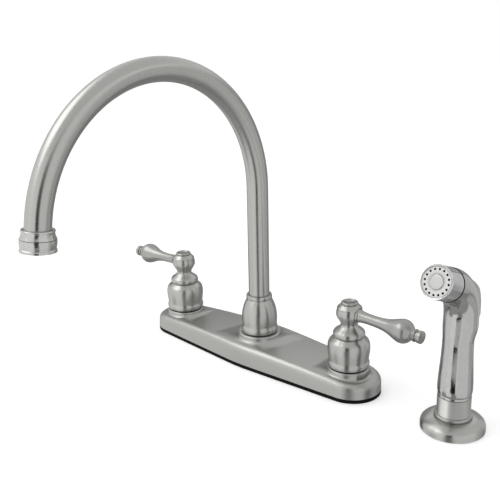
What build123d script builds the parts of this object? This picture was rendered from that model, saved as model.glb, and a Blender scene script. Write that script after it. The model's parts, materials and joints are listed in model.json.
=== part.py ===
from build123d import *
import math
import os

# Side spray kitchen faucet, in millimetres and degrees.
# Z is up, X runs from the hot to the cold handle, and the spout points to -Y.
# The origin is under the spout, on the sink deck.

# ---------------------------------------------------------------- deck holes
hole_pitch = 101.6  # one deck hole to the next
deck_room = 22.0  # thickest deck that the lock nuts still hold

# ------------------------------------------------------- clearances and fits
seam = 0.3  # between pieces that only lie near each other
running = 0.05  # a shaft in its bore
slack = 0.1  # a fixed piece in its seat

# ---------------------------------------------------------------- deck plate
gasket_thick = 3.3
plate_half_width = 32.2
plate_end_radius = 25.1
plate_end_centre = 105.2
plate_middle_round = 180.0
plate_middle_top = 20.6
plate_end_top = 16.8
plate_edge_round = 6.0
plate_wall = 2.2
plate_draft = 1.5

handle_boss_radius = 17.9
handle_boss_rise = 4.9
spout_boss_radius = 20.0
spout_boss_rise = 5.0
boss_edge_round = 1.5

# -------------------------------------------------------- shanks and lock nuts
shank_radius = 10.45
shank_bore = 6.5
shank_length = 48.0
supply_end_radius = 10.2  # where the supply pipe's coupling sits
supply_end_length = 14.0
nut_height = 8.0
nut_radius = 17.5
nut_wings = 4
nut_wing_reach = 24.0
nut_wing_width = 5.0
washer_thick = 2.0
washer_radius = 19.0

# ------------------------------------------------------- valve and centre body
valve_body_radius = 15.0
valve_neck_radius = 12.4
valve_neck_rise = 12.0  # above the boss
valve_seat_depth = 16.0  # cartridge bore, below the neck's top
cartridge_bore = 9.4
centre_body_radius = 17.0
spout_neck_radius = 13.2
spout_neck_rise = 14.4  # above the boss
spout_bore = 9.4
spout_bore_depth = 26.0
waterway_radius = 4.8
waterway_bore = 3.2

# ----------------------------------------------------------- quarter-turn valve
disc_radius = 8.6
disc_thick = 3.0
stem_radius = 3.9
stem_foot_radius = 7.2
stem_foot_height = 4.0
cartridge_hex = 20.0  # across flats
cartridge_hex_height = 4.5
cartridge_guide_radius = 7.0
cartridge_guide_height = 6.5
cartridge_wall = 1.4

# ---------------------------------------------------------------------- bonnet
seal_thick = 1.2
seal_width = 2.6
seal_radius = 16.5
bell_foot_radius = 17.2
bell_bead_radius = 17.75
bell_bead_height = 5.2
bell_waist_radius = 16.9
bell_radius = 17.95
bell_widest = 16.8  # above the bonnet's foot
bell_shoulder_radius = 16.4
bell_shoulder = 22.8
bell_top_radius = 12.7
bell_height = 26.0
bell_wall = 1.6

# ------------------------------------------------------------------ handle hub
hub_foot_radius = 12.6
hub_rim_radius = 13.5
hub_rim = 2.8
hub_cove_radius = 12.4
hub_cove_rise = 2.4  # above the rim
hub_waist_radius = 7.1
hub_waist = 10.7
hub_flare_radius = 9.8
hub_flare_rise = 5.3  # above the waist
hub_ball_radius = 11.1
hub_ball = 21.3
hub_crown_radius = 10.5
hub_crown_drop = 4.1  # below the top
hub_top_radius = 7.5
hub_height = 28.6
hub_recess_radius = 10.6
hub_recess = 2.2
screw_radius = 2.0
screw_head_radius = 3.6
screw_head_height = 2.6
screw_length = 9.0
button_radius = 7.2
button_rise = 2.1
button_round = 1.1
button_dish_radius = 4.8
button_dish = 0.35
button_plug_radius = 3.7
button_plug = 3.6

# ----------------------------------------------------------------------- lever
lever_height = 20.6  # axis above the hub's foot
lever_droop = 2.1
lever_root = 8.2
lever_root_radius = 6.2
lever_spigot = 3.2  # length of the spigot inside the hub
lever_spigot_radius = 3.0
lever_neck_radius = 4.4
lever_neck = 23.0
bulb_radius = 9.85
bulb_centre = 52.0
bulb_flare_radius = 6.2
bulb_flare = 12.5  # behind the bulb's centre
bulb_shoulder_radius = 8.9
bulb_shoulder = 4.6  # behind the bulb's centre
bulb_nose_radius = 8.2
bulb_nose = 5.1  # past the bulb's centre
bead_root_radius = 4.4
bead_radius = 5.35
bead_centre = 63.2
bead_width = 2.2
knob_neck_radius = 4.1
knob_neck = 1.4
knob_radius = 5.2
knob_length = 3.6
knob_round = 0.8
knob_dome = 0.6

# ----------------------------------------------------------------------- spout
tube_radius = 9.5
tube_wall = 1.1
arch_radius = 110.7
arch_spring = 160.9  # height at which the bend begins
arch_sweep = 174.0
bushing_bore = 6.6
bushing_flange_radius = 12.6
bushing_flange_thick = 3.0
tube_socket = 8.0  # depth of the tube over the bushing
split_ring_thick = 2.0
o_ring_section = 1.1
o_ring_pitch = 7.0

nut_foot_radius = 16.5
acorn_bead_radius = 16.8
acorn_bead_height = 5.6
acorn_waist_radius = 15.9
acorn_radius = 16.3
acorn_widest = 12.5
acorn_shoulder_radius = 14.1
acorn_shoulder_drop = 5.6  # below the neck
acorn_neck_radius = 11.5
acorn_neck = 31.0
acorn_rim_radius = 11.9
acorn_height = 35.0
acorn_seal_thick = 0.8

# --------------------------------------------------------------------- aerator
collar_radius = 11.7
collar_length = 6.4
collar_lap = 1.6  # how far the collar reaches back over the tube
aerator_radius = 12.9
aerator_foot_radius = 12.3
aerator_length = 6.9
lip_radius = 13.0
lip_length = 2.1
aerator_wall = 1.8
screen_thick = 1.6
screen_hole_radius = 0.7
screen_ring_radii = (3.0, 5.6, 8.2)
screen_ring_holes = (6, 12, 18)

# -------------------------------------------------------------------- diverter
diverter_radius = 4.2
diverter_stem_radius = 1.8
diverter_head = 3.0
diverter_height = 15.0
diverter_spring_wall = 0.8
diverter_cap = 2.0
outlet_radius = 6.8
outlet_bore = 3.6
outlet_length = 42.0
hose_end_radius = 6.4  # where the spray hose's coupling sits
hose_end_length = 14.0

# --------------------------------------------------------------- spray holder
spray_inward = 3.5  # from the fourth hole's centre, within the hole's play
spray_back = 2.6
flange_radius = 25.0
flange_side = 3.0
flange_brow_radius = 22.6
flange_brow = 7.3
flange_height = 10.0
flange_neck_radius = 15.1
flange_wall = 2.4
holder_gasket_thick = 2.0
sleeve_radius = 13.0
sleeve_shoulder_radius = 14.8
sleeve_shoulder = 3.0
shoulder_round = 1.5
sleeve_top = 27.6
sleeve_shank = 40.0
sleeve_wall = 2.0
holder_nut_radius = 20.0

# ----------------------------------------------------------------------- wand
base_ring_thick = 2.5
base_ring_radius = 12.9
base_ring_round = 0.5
wand_foot_radius = 12.8
wand_belly_radius = 13.4
wand_belly = 37.0
wand_waist_radius = 11.7
waist_drop = 21.5  # below the elbow
neck_radius = 13.1
neck_set_back = 2.2  # the swollen neck's centre, behind the wand's axis
swell_drops = (16.5, 12.0, 7.0)  # below the elbow
swell_set_backs = (0.7, 1.6, 2.1)
swell_radii = (12.1, 12.8, 13.1)
wand_bore = 6.5
elbow_radius = 30.0
face_reach = 37.2
face_height = 130.4
face_tilt = 22.0  # the face looks up by this much
barrel_length = 17.2
barrel_radius = 12.7
barrel_wall = 1.7
barrel_back = 2.2  # thickness of its rear wall
face_radius = 11.1
face_thick = 3.0
face_set_back = 0.5
spray_holes = 16
spray_hole_radius = 0.8
spray_hole_circle = 9.3
hub_disc_radius = 5.4
hub_disc_rise = 0.6
tail_radius = 10.2
tail_tip_radius = 8.8
tail_bottom = 6.0
tail_inlet_radius = 5.2
tail_inlet_depth = 10.0
tail_spigot = 12.0
tail_bore = 3.0

# --------------------------------------------------------------------- trigger
pivot_angle = 36.0  # round the elbow, from the level
pivot_inset = 2.0  # under the neck's outer surface
pin_radius = 1.0
eye_radius = 2.0
trigger_half_width = 6.5
trigger_gap = 0.5
trigger_depth = 4.2
trigger_tip_depth = 1.6
trigger_thick = 2.0
trigger_side = 1.3  # the cheeks' wall
tongue_half_width = 4.0  # of the blade's tongue, at the pivot
cheek_reach = 22.0  # degrees round the elbow
trigger_drop = 5.2  # below the elbow
trigger_overhang = 6.0  # degrees past the pivot
trigger_foot_room = 1.8  # in the channel, for the blade's swing
channel_side = 0.4
channel_depth = 4.8
plunger_drop = 1.5  # below the elbow
plunger_radius = 1.8
plunger_cap_radius = 2.4
plunger_cap = 0.9
plunger_disc_radius = 3.2
plunger_disc = 1.2
valve_seat_radius = 4.2
valve_seat_back = 1.5  # of the seat's face, behind the wand's axis


# ------------------------------------------------------------- derived heights
def plate_top_at(x):
    """Height of the plate's crowned top over a point at x."""
    crown_drop = plate_middle_top - plate_end_top
    crown_radius = (plate_end_centre**2 + crown_drop**2) / (2 * crown_drop)
    return plate_middle_top - crown_radius + math.sqrt(crown_radius**2 - x**2)


handle_boss_top = plate_top_at(hole_pitch) + handle_boss_rise
spout_boss_top = plate_middle_top + spout_boss_rise
bell_base = handle_boss_top + seal_thick
hub_base = bell_base + bell_height + seam
lever_axis_height = hub_base + lever_height
neck_top = handle_boss_top + valve_neck_rise
spout_neck_top = spout_boss_top + spout_neck_rise
acorn_base = spout_boss_top + acorn_seal_thick
shank_bottom = -shank_length
washer_top = -deck_room

os.makedirs("parts", exist_ok=True)


def write_piece(piece, name):
    """Label a finished piece and write its STEP file."""
    piece.label = name
    export_step(piece, f"parts/{name}.step")


def write_pair(piece, name):
    """Write a piece twice: at the hot handle, turned half round, and at the cold one."""
    write_piece(piece.moved(Location((-hole_pitch, 0, 0), (0, 0, 180))), f"hot_{name}")
    write_piece(piece.moved(Location((hole_pitch, 0, 0))), f"cold_{name}")


def plate_outline(inset):
    """Plan of the deck plate, drawn in by an inset: straight flanks and round ends."""
    lean = math.atan2(plate_half_width, -plate_end_centre)
    reach = math.hypot(plate_end_centre, plate_half_width)
    tangent = lean - math.acos(plate_end_radius / reach)
    touch_x = plate_end_centre + plate_end_radius * math.cos(tangent)
    touch_y = plate_end_radius * math.sin(tangent)
    tip = plate_end_centre + plate_end_radius
    with BuildSketch() as plan:
        with BuildLine():
            Line((0, -plate_half_width), (touch_x, -touch_y))
            ThreePointArc((touch_x, -touch_y), (tip, 0), (touch_x, touch_y))
            Line((touch_x, touch_y), (0, plate_half_width))
            Line((0, plate_half_width), (-touch_x, touch_y))
            ThreePointArc((-touch_x, touch_y), (-tip, 0), (-touch_x, -touch_y))
            Line((-touch_x, -touch_y), (0, -plate_half_width))
        make_face()
        widest = plan.vertices().sort_by(Axis.Y)
        fillet([widest[0], widest[-1]], radius=plate_middle_round)
        if inset:
            offset(amount=-inset)
    return plan.sketch


def crown_profile(drop):
    """Side view of the plate, under its crowned top lowered by a drop."""
    end = plate_end_centre + plate_end_radius + plate_edge_round
    with BuildSketch(Plane.XZ.offset(-plate_half_width)) as side:
        with BuildLine():
            ends = plate_top_at(end) - drop
            ThreePointArc((-end, ends), (0, plate_middle_top - drop), (end, ends))
            Polyline((end, ends), (end, gasket_thick), (-end, gasket_thick), (-end, ends))
        make_face()
    return side.sketch


station_x = (-hole_pitch, 0, hole_pitch)
plate_plan = plate_outline(0)
cavity_plan = plate_outline(plate_wall)
crown = crown_profile(0)
cavity_crown = crown_profile(plate_wall)

# ---------------------------------------------------------------- deck gasket
with BuildPart() as deck_gasket:
    with BuildSketch():
        add(plate_plan)
    extrude(amount=gasket_thick)
    with BuildSketch():
        with Locations((-hole_pitch, 0), (hole_pitch, 0)):
            Circle(shank_radius + seam)
        Circle(outlet_radius + seam)
    extrude(amount=gasket_thick, mode=Mode.SUBTRACT)
write_piece(deck_gasket.part, "deck_gasket")

# ------------------------------------------------------------------ deck plate
with BuildPart() as plate_cavity:
    with BuildSketch(Plane.XY.offset(gasket_thick)):
        add(cavity_plan)
    extrude(amount=plate_middle_top)
    extrude(cavity_crown, amount=2 * plate_half_width, mode=Mode.INTERSECT)

with BuildPart() as deck_plate:
    with BuildSketch(Plane.XY.offset(gasket_thick)):
        add(plate_plan)
    extrude(amount=plate_middle_top, taper=plate_draft)
    extrude(crown, amount=2 * plate_half_width, mode=Mode.INTERSECT)
    fillet(deck_plate.faces().sort_by(Axis.Z)[-1].edges(), radius=plate_edge_round)
    add(plate_cavity.part, mode=Mode.SUBTRACT)
    for x in station_x:
        boss_radius = handle_boss_radius if x else spout_boss_radius
        boss_top = handle_boss_top if x else spout_boss_top
        boss_foot = plate_top_at(x) - plate_wall / 2
        with BuildSketch(Plane.XY.offset(boss_foot)):
            with Locations((x, 0)):
                Circle(boss_radius)
        extrude(amount=boss_top - boss_foot)
        boss_face = deck_plate.faces().sort_by_distance((x, 0, boss_top))[0]
        fillet(boss_face.edges(), radius=boss_edge_round)
    with BuildSketch(Plane.XY.offset(gasket_thick)):
        with Locations((-hole_pitch, 0), (hole_pitch, 0)):
            Circle(valve_neck_radius + slack)
        Circle(spout_neck_radius + slack)
    extrude(amount=spout_boss_top, mode=Mode.SUBTRACT)
write_piece(deck_plate.part, "deck_plate")

# ---------------------------------------------------------------- valve bodies
valve_shoulder = plate_top_at(hole_pitch + valve_body_radius) - plate_wall - seam
cartridge_seat = neck_top - valve_seat_depth
with BuildPart() as valve_body:
    with BuildSketch(Plane.XZ):
        with BuildLine():
            Polyline(
                (shank_bore, shank_bottom),
                (supply_end_radius, shank_bottom),
                (supply_end_radius, shank_bottom + supply_end_length),
                (shank_radius, shank_bottom + supply_end_length),
                (shank_radius, gasket_thick + seam),
                (valve_body_radius, gasket_thick + seam),
                (valve_body_radius, valve_shoulder),
                (valve_neck_radius, valve_shoulder),
                (valve_neck_radius, neck_top),
                (cartridge_bore, neck_top),
                (cartridge_bore, cartridge_seat),
                (shank_bore, cartridge_seat),
                close=True,
            )
        make_face()
    revolve(axis=Axis.Z)
write_pair(valve_body.part, "valve_body")

# ----------------------------------------------------------------- centre body
centre_shoulder = plate_top_at(centre_body_radius) - plate_wall - seam
spout_floor = spout_neck_top - spout_bore_depth
diverter_room = diverter_radius + slack
with BuildPart() as centre_body:
    with BuildSketch(Plane.XZ):
        with BuildLine():
            Polyline(
                (outlet_bore, gasket_thick + seam),
                (centre_body_radius, gasket_thick + seam),
                (centre_body_radius, centre_shoulder),
                (spout_neck_radius, centre_shoulder),
                (spout_neck_radius, spout_neck_top),
                (spout_bore, spout_neck_top),
                (spout_bore, spout_floor),
                (diverter_room, spout_floor),
                (diverter_room, gasket_thick + plate_wall),
                (outlet_bore, gasket_thick + plate_wall),
                close=True,
            )
        make_face()
    revolve(axis=Axis.Z)
write_piece(centre_body.part, "centre_body")

with BuildPart() as spray_outlet:
    with BuildSketch(Plane.XY.offset(gasket_thick + seam)):
        Circle(outlet_radius)
    extrude(amount=hose_end_length - outlet_length)
    with BuildSketch(Plane.XY.offset(gasket_thick + seam)):
        Circle(hose_end_radius)
    extrude(amount=-outlet_length)
    with BuildSketch(Plane.XY.offset(gasket_thick + seam)):
        Circle(outlet_bore)
    extrude(amount=-outlet_length, mode=Mode.SUBTRACT)
write_piece(spray_outlet.part, "spray_outlet")

# -------------------------------------------------------------------- waterways
waterway_height = (gasket_thick + seam + valve_shoulder) / 2
waterway_start = centre_body_radius + running
waterway_end = hole_pitch - valve_body_radius - running
with BuildPart() as waterway:
    with BuildSketch(Plane.YZ.offset(waterway_start - hole_pitch)):
        with Locations((0, waterway_height)):
            Circle(waterway_radius)
            Circle(waterway_bore, mode=Mode.SUBTRACT)
    extrude(amount=waterway_end - waterway_start)
write_pair(waterway.part, "waterway")

# -------------------------------------------------------------- quarter-turn valve
fixed_disc_base = cartridge_seat + seam
moving_disc_base = fixed_disc_base + disc_thick + running
stem_base = moving_disc_base + disc_thick + running
stem_foot_top = stem_base + stem_foot_height
cartridge_top = neck_top + seam + cartridge_hex_height + cartridge_guide_height
stem_top = lever_axis_height - lever_root_radius - seam

with BuildPart() as fixed_disc:
    with BuildSketch(Plane.XY.offset(fixed_disc_base)):
        Circle(disc_radius)
        with Locations((0, disc_radius / 2), (0, -disc_radius / 2)):
            SlotOverall(disc_radius, disc_radius / 3, mode=Mode.SUBTRACT)
    extrude(amount=disc_thick)
write_pair(fixed_disc.part, "fixed_disc")

with BuildPart() as moving_disc:
    with BuildSketch(Plane.XY.offset(moving_disc_base)):
        Circle(cartridge_bore - cartridge_wall - running)
        with Locations((disc_radius / 2, 0), (-disc_radius / 2, 0)):
            SlotOverall(disc_radius / 2, disc_radius / 3, rotation=90, mode=Mode.SUBTRACT)
    extrude(amount=disc_thick)
write_pair(moving_disc.part, "moving_disc")

with BuildPart() as stem:
    with BuildSketch(Plane.XY.offset(stem_base)):
        Circle(stem_foot_radius)
    extrude(amount=stem_foot_height)
    with BuildSketch(Plane.XY.offset(stem_base)):
        Circle(stem_radius)
    extrude(amount=stem_top - stem_base)
    with BuildSketch(Plane.XY.offset(stem_top)):
        Circle(screw_radius + slack)
    extrude(amount=-screw_length, mode=Mode.SUBTRACT)
write_pair(stem.part, "stem")

with BuildPart() as cartridge:
    with BuildSketch(Plane.XZ):
        with BuildLine():
            Polyline(
                (cartridge_bore - cartridge_wall, moving_disc_base),
                (cartridge_bore - slack, moving_disc_base),
                (cartridge_bore - slack, neck_top + seam),
                (cartridge_guide_radius, neck_top + seam),
                (cartridge_guide_radius, cartridge_top),
                (stem_radius + running, cartridge_top),
                (stem_radius + running, stem_foot_top + running),
                (cartridge_bore - cartridge_wall, stem_foot_top + running),
                close=True,
            )
        make_face()
    revolve(axis=Axis.Z)
    with BuildSketch(Plane.XY.offset(neck_top + seam)):
        RegularPolygon(cartridge_hex / 2, 6, major_radius=False)
        Circle(cartridge_guide_radius, mode=Mode.SUBTRACT)
    extrude(amount=cartridge_hex_height)
write_pair(cartridge.part, "cartridge")

# ---------------------------------------------------------------------- bonnet
with BuildPart() as bell_seal:
    with BuildSketch(Plane.XY.offset(handle_boss_top)):
        Circle(seal_radius)
        Circle(seal_radius - seal_width, mode=Mode.SUBTRACT)
    extrude(amount=seal_thick)
write_pair(bell_seal.part, "bonnet_seal")

bell_groove = bell_base + bell_bead_height
bell_top = bell_base + bell_height
bell_inside_top = bell_top - bell_wall
with BuildPart() as bonnet:
    with BuildSketch(Plane.XZ):
        with BuildLine():
            ThreePointArc(
                (bell_foot_radius, bell_base),
                (bell_bead_radius, bell_base + bell_bead_height / 2),
                (bell_waist_radius, bell_groove),
            )
            Spline(
                (bell_waist_radius, bell_groove),
                (bell_radius, bell_base + bell_widest),
                (bell_shoulder_radius, bell_base + bell_shoulder),
                (bell_top_radius, bell_top),
                tangents=((0.1, 1), (-1, 1)),
            )
            Polyline(
                (bell_top_radius, bell_top),
                (cartridge_guide_radius + seam, bell_top),
                (cartridge_guide_radius + seam, bell_inside_top),
                (bell_top_radius - bell_wall, bell_inside_top),
                (bell_waist_radius - 2 * bell_wall, bell_base + bell_widest),
                (valve_neck_radius + running, neck_top),
                (valve_neck_radius + running, bell_groove),
                (bell_waist_radius - 2 * bell_wall, bell_groove),
                (bell_waist_radius - 2 * bell_wall, bell_base),
                (bell_foot_radius, bell_base),
            )
        make_face()
    revolve(axis=Axis.Z)
write_pair(bonnet.part, "bonnet")

# ------------------------------------------------------------------ handle hub
lever_droop_angle = math.radians(lever_droop)
lever_direction = Vector(math.cos(lever_droop_angle), 0, -math.sin(lever_droop_angle))
lever_plane = Plane(origin=(0, 0, lever_axis_height), x_dir=lever_direction, z_dir=(0, -1, 0))
lever_axis = Axis((0, 0, lever_axis_height), lever_direction)
hub_top = hub_base + hub_height
hub_cove = hub_base + hub_rim + hub_cove_rise
screw_seat = stem_top + seam + bell_wall
plug_radius = button_plug_radius + slack

with BuildPart() as hub:
    with BuildSketch(Plane.XZ):
        with BuildLine():
            ThreePointArc(
                (hub_foot_radius, hub_base),
                (hub_rim_radius, hub_base + hub_rim),
                (hub_cove_radius, hub_cove),
            )
            Spline(
                (hub_cove_radius, hub_cove),
                (hub_waist_radius, hub_base + hub_waist),
                (hub_flare_radius, hub_base + hub_waist + hub_flare_rise),
                (hub_ball_radius, hub_base + hub_ball),
                (hub_crown_radius, hub_top - hub_crown_drop),
                (hub_top_radius, hub_top),
                tangents=((-1.2, 0.9), (-1, 1)),
            )
            Polyline(
                (hub_top_radius, hub_top),
                (plug_radius, hub_top),
                (plug_radius, screw_seat),
                (screw_radius + slack, screw_seat),
                (screw_radius + slack, stem_top + seam),
                (stem_radius + slack, stem_top + seam),
                (stem_radius + slack, hub_base + hub_recess),
                (hub_recess_radius, hub_base + hub_recess),
                (hub_recess_radius, hub_base),
                (hub_foot_radius, hub_base),
            )
        make_face()
    revolve(axis=Axis.Z)
    with BuildSketch(lever_plane):
        with Locations((lever_root - seam, 0)):
            Rectangle(
                hub_ball_radius,
                lever_root_radius + slack,
                align=(Align.MIN, Align.MIN),
            )
        with Locations((lever_root - lever_spigot - seam, 0)):
            Rectangle(
                hub_ball_radius,
                lever_spigot_radius + slack,
                align=(Align.MIN, Align.MIN),
            )
    revolve(axis=lever_axis, mode=Mode.SUBTRACT)
write_pair(hub.part, "hub")

# ----------------------------------------------------------------------- lever
bulb_end = bead_centre - bead_width / 2
bead_end = bead_centre + bead_width / 2
knob_start = bead_end + knob_neck
knob_end = knob_start + knob_length
lever_tip = knob_end + knob_dome
with BuildPart() as lever:
    with BuildSketch(lever_plane):
        with BuildLine():
            Polyline(
                (lever_root - lever_spigot, 0),
                (lever_root - lever_spigot, lever_spigot_radius),
                (lever_root, lever_spigot_radius),
                (lever_root, lever_root_radius),
            )
            Spline(
                (lever_root, lever_root_radius),
                (lever_neck, lever_neck_radius),
                (bulb_centre - bulb_flare, bulb_flare_radius),
                (bulb_centre - bulb_shoulder, bulb_shoulder_radius),
                (bulb_centre, bulb_radius),
                (bulb_centre + bulb_nose, bulb_nose_radius),
                (bulb_end, bead_root_radius),
                tangents=((1, -0.4), (1, -0.3)),
            )
            ThreePointArc(
                (bulb_end, bead_root_radius),
                (bead_centre, bead_radius),
                (bead_end, knob_neck_radius),
            )
            Polyline(
                (bead_end, knob_neck_radius),
                (knob_start, knob_neck_radius),
                (knob_start, knob_radius),
                (knob_end, knob_radius),
            )
            TangentArc((lever_tip, 0), (knob_end, knob_radius), tangent=(0, 1))
            Line((lever_tip, 0), (lever_root - lever_spigot, 0))
        make_face()
    revolve(axis=lever_axis)
    for rim in (knob_start, knob_end):
        rim_point = lever_plane.from_local_coords((rim, 0, knob_radius))
        fillet(lever.edges().sort_by_distance(rim_point)[0], radius=knob_round)
write_pair(lever.part, "lever")

# ------------------------------------------------------- index button and screw
button_top = hub_top + running + button_rise
with BuildPart() as index_button:
    with BuildSketch(Plane.XZ):
        with BuildLine():
            Polyline(
                (0, hub_top - button_plug),
                (button_plug_radius, hub_top - button_plug),
                (button_plug_radius, hub_top + running),
                (button_radius, hub_top + running),
                (button_radius, button_top),
                (button_dish_radius, button_top),
                (button_dish_radius, button_top - button_dish),
                (0, button_top - button_dish),
                close=True,
            )
        make_face()
    revolve(axis=Axis.Z)
    button_rim = index_button.edges().sort_by_distance((0, button_radius, button_top))[0]
    fillet(button_rim, radius=button_round)
write_pair(index_button.part, "index_button")

with BuildPart() as handle_screw:
    with BuildSketch(Plane.XY.offset(screw_seat)):
        Circle(screw_head_radius)
    extrude(amount=screw_head_height)
    with BuildSketch(Plane.XY.offset(screw_seat)):
        Circle(screw_radius)
    extrude(amount=-(screw_length - screw_head_height))
write_pair(handle_screw.part, "handle_screw")

# --------------------------------------------------------------- washers, nuts
with BuildPart() as shank_washers:
    with BuildSketch(Plane.XY.offset(washer_top)):
        with Locations((-hole_pitch, 0), (hole_pitch, 0)):
            Circle(washer_radius)
            Circle(shank_radius + slack, mode=Mode.SUBTRACT)
    extrude(amount=-washer_thick)
write_piece(shank_washers.part, "shank_washers")

with BuildPart() as lock_nuts:
    for x in (-hole_pitch, hole_pitch):
        with BuildSketch(Plane.XY.offset(washer_top - washer_thick)):
            with Locations((x, 0)):
                Circle(nut_radius)
                with PolarLocations(0, nut_wings):
                    Rectangle(nut_wing_reach, nut_wing_width, align=(Align.MIN, Align.CENTER))
                Circle(shank_radius + running, mode=Mode.SUBTRACT)
        extrude(amount=-nut_height)
write_piece(lock_nuts.part, "lock_nuts")

# ------------------------------------------------------------------- spout nut
with BuildPart() as acorn_seal:
    with BuildSketch(Plane.XY.offset(spout_boss_top)):
        Circle(nut_foot_radius - acorn_seal_thick)
        Circle(spout_neck_radius + seam, mode=Mode.SUBTRACT)
    extrude(amount=acorn_seal_thick)
write_piece(acorn_seal.part, "spout_nut_seal")

flange_top = spout_neck_top + seam + bushing_flange_thick
split_ring_top = flange_top + seam + split_ring_thick
acorn_groove = acorn_base + acorn_bead_height
acorn_top = acorn_base + acorn_height
tube_room = tube_radius + seam
with BuildPart() as spout_nut:
    with BuildSketch(Plane.XZ):
        with BuildLine():
            ThreePointArc(
                (nut_foot_radius, acorn_base),
                (acorn_bead_radius, acorn_base + acorn_bead_height / 2),
                (acorn_waist_radius, acorn_groove),
            )
            Spline(
                (acorn_waist_radius, acorn_groove),
                (acorn_radius, acorn_base + acorn_widest),
                (acorn_shoulder_radius, acorn_base + acorn_neck - acorn_shoulder_drop),
                (acorn_neck_radius, acorn_base + acorn_neck),
                tangents=((0.1, 1), (-0.6, 1)),
            )
            ThreePointArc(
                (acorn_neck_radius, acorn_base + acorn_neck),
                (acorn_rim_radius, (acorn_base + acorn_neck + acorn_top) / 2),
                (acorn_neck_radius, acorn_top),
            )
            Polyline(
                (acorn_neck_radius, acorn_top),
                (tube_room, acorn_top),
                (tube_room, split_ring_top + seam),
                (spout_neck_radius + running, split_ring_top + seam),
                (spout_neck_radius + running, acorn_base),
                (nut_foot_radius, acorn_base),
            )
        make_face()
    revolve(axis=Axis.Z)
write_piece(spout_nut.part, "spout_nut")

# ----------------------------------------------------------------------- spout
tube_start = flange_top + running
bushing_base = spout_floor + diverter_cap + seam
with BuildPart() as spout_bushing:
    with BuildSketch(Plane.XZ):
        with BuildLine():
            Polyline(
                (bushing_bore, bushing_base),
                (spout_bore - running, bushing_base),
                (spout_bore - running, spout_neck_top + seam),
                (bushing_flange_radius, spout_neck_top + seam),
                (bushing_flange_radius, flange_top),
                (tube_radius - tube_wall - running, flange_top),
                (tube_radius - tube_wall - running, flange_top + tube_socket),
                (bushing_bore, flange_top + tube_socket),
                close=True,
            )
        make_face()
        o_ring_seat = spout_bore - running - 2 * o_ring_section
        for i in range(2):
            with Locations((o_ring_seat, bushing_base + (i + 1) * o_ring_pitch)):
                Rectangle(
                    3 * o_ring_section,
                    2 * o_ring_section + slack,
                    align=(Align.MIN, Align.CENTER),
                    mode=Mode.SUBTRACT,
                )
    revolve(axis=Axis.Z)
write_piece(spout_bushing.part, "spout_bushing")

with BuildPart() as spout_o_rings:
    with BuildSketch(Plane.XZ):
        for i in range(2):
            ring_middle = spout_bore - running - o_ring_section
            with Locations((ring_middle, bushing_base + (i + 1) * o_ring_pitch)):
                Circle(o_ring_section)
    revolve(axis=Axis.Z)
write_piece(spout_o_rings.part, "spout_o_rings")

with BuildPart() as split_ring:
    with BuildSketch(Plane.XY.offset(flange_top + seam)):
        Circle(bushing_flange_radius)
        Circle(tube_room, mode=Mode.SUBTRACT)
        with Locations((0, bushing_flange_radius)):
            Rectangle(split_ring_thick, bushing_flange_radius, mode=Mode.SUBTRACT)
    extrude(amount=split_ring_thick)
write_piece(split_ring.part, "split_ring")

with BuildLine(Plane.YZ) as arch:
    riser = Line((0, tube_start), (0, arch_spring))
    JernArc(start=riser @ 1, tangent=riser % 1, radius=arch_radius, arc_size=arch_sweep)
with BuildPart() as gooseneck:
    with BuildSketch(Plane.XY.offset(tube_start)):
        Circle(tube_radius)
        Circle(tube_radius - tube_wall, mode=Mode.SUBTRACT)
    sweep(path=arch.wires()[0])
write_piece(gooseneck.part, "gooseneck")

# --------------------------------------------------------------------- aerator
outlet_point = arch.wires()[0] @ 1
outlet_direction = arch.wires()[0] % 1
outlet_axis = Axis(outlet_point, outlet_direction)
outlet_plane = Plane(
    origin=outlet_point,
    x_dir=(1, 0, 0),
    z_dir=Vector(1, 0, 0).cross(outlet_direction),
)
collar_end = collar_length - collar_lap
aerator_end = collar_end + aerator_length + lip_length
thread_radius = collar_radius - aerator_wall
with BuildPart() as spout_collar:
    with BuildSketch(outlet_plane):
        with BuildLine():
            Polyline(
                (tube_radius + running, -collar_lap),
                (collar_radius - seam, -collar_lap),
                (collar_radius, seam - collar_lap),
                (collar_radius, collar_end),
                (thread_radius, collar_end),
                (thread_radius, collar_end + aerator_length / 2),
                (thread_radius - aerator_wall, collar_end + aerator_length / 2),
                (thread_radius - aerator_wall, running),
                (tube_radius + running, running),
                close=True,
            )
        make_face()
    revolve(axis=outlet_axis)
write_piece(spout_collar.part, "spout_collar")

with BuildPart() as aerator_housing:
    with BuildSketch(outlet_plane):
        with BuildLine():
            Polyline(
                (thread_radius + running, collar_end + seam),
                (aerator_radius, collar_end + seam),
                (aerator_foot_radius, collar_end + aerator_length),
                (lip_radius, collar_end + aerator_length + seam),
                (lip_radius, aerator_end),
                (thread_radius - aerator_wall, aerator_end),
                (thread_radius - aerator_wall, aerator_end - lip_length),
                (thread_radius + running, aerator_end - lip_length),
                close=True,
            )
        make_face()
    revolve(axis=outlet_axis)
write_piece(aerator_housing.part, "aerator_housing")

screen_start = aerator_end - lip_length - screen_thick
outlet_workplane = Plane(
    origin=outlet_point + outlet_direction * screen_start,
    x_dir=(1, 0, 0),
    z_dir=outlet_direction,
)
with BuildPart() as aerator_screen:
    with BuildSketch(outlet_workplane):
        Circle(thread_radius - running)
        Circle(screen_hole_radius, mode=Mode.SUBTRACT)
        for ring_radius, ring_count in zip(screen_ring_radii, screen_ring_holes):
            with PolarLocations(ring_radius, ring_count):
                Circle(screen_hole_radius, mode=Mode.SUBTRACT)
    extrude(amount=screen_thick)
write_piece(aerator_screen.part, "aerator_screen")

washer_start = collar_end + aerator_length / 2 + seam
with BuildPart() as aerator_washer:
    with BuildSketch(outlet_workplane):
        Circle(thread_radius - running)
        Circle(thread_radius - aerator_wall, mode=Mode.SUBTRACT)
    extrude(amount=washer_start - screen_start)
write_piece(aerator_washer.part, "aerator_washer")

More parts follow.
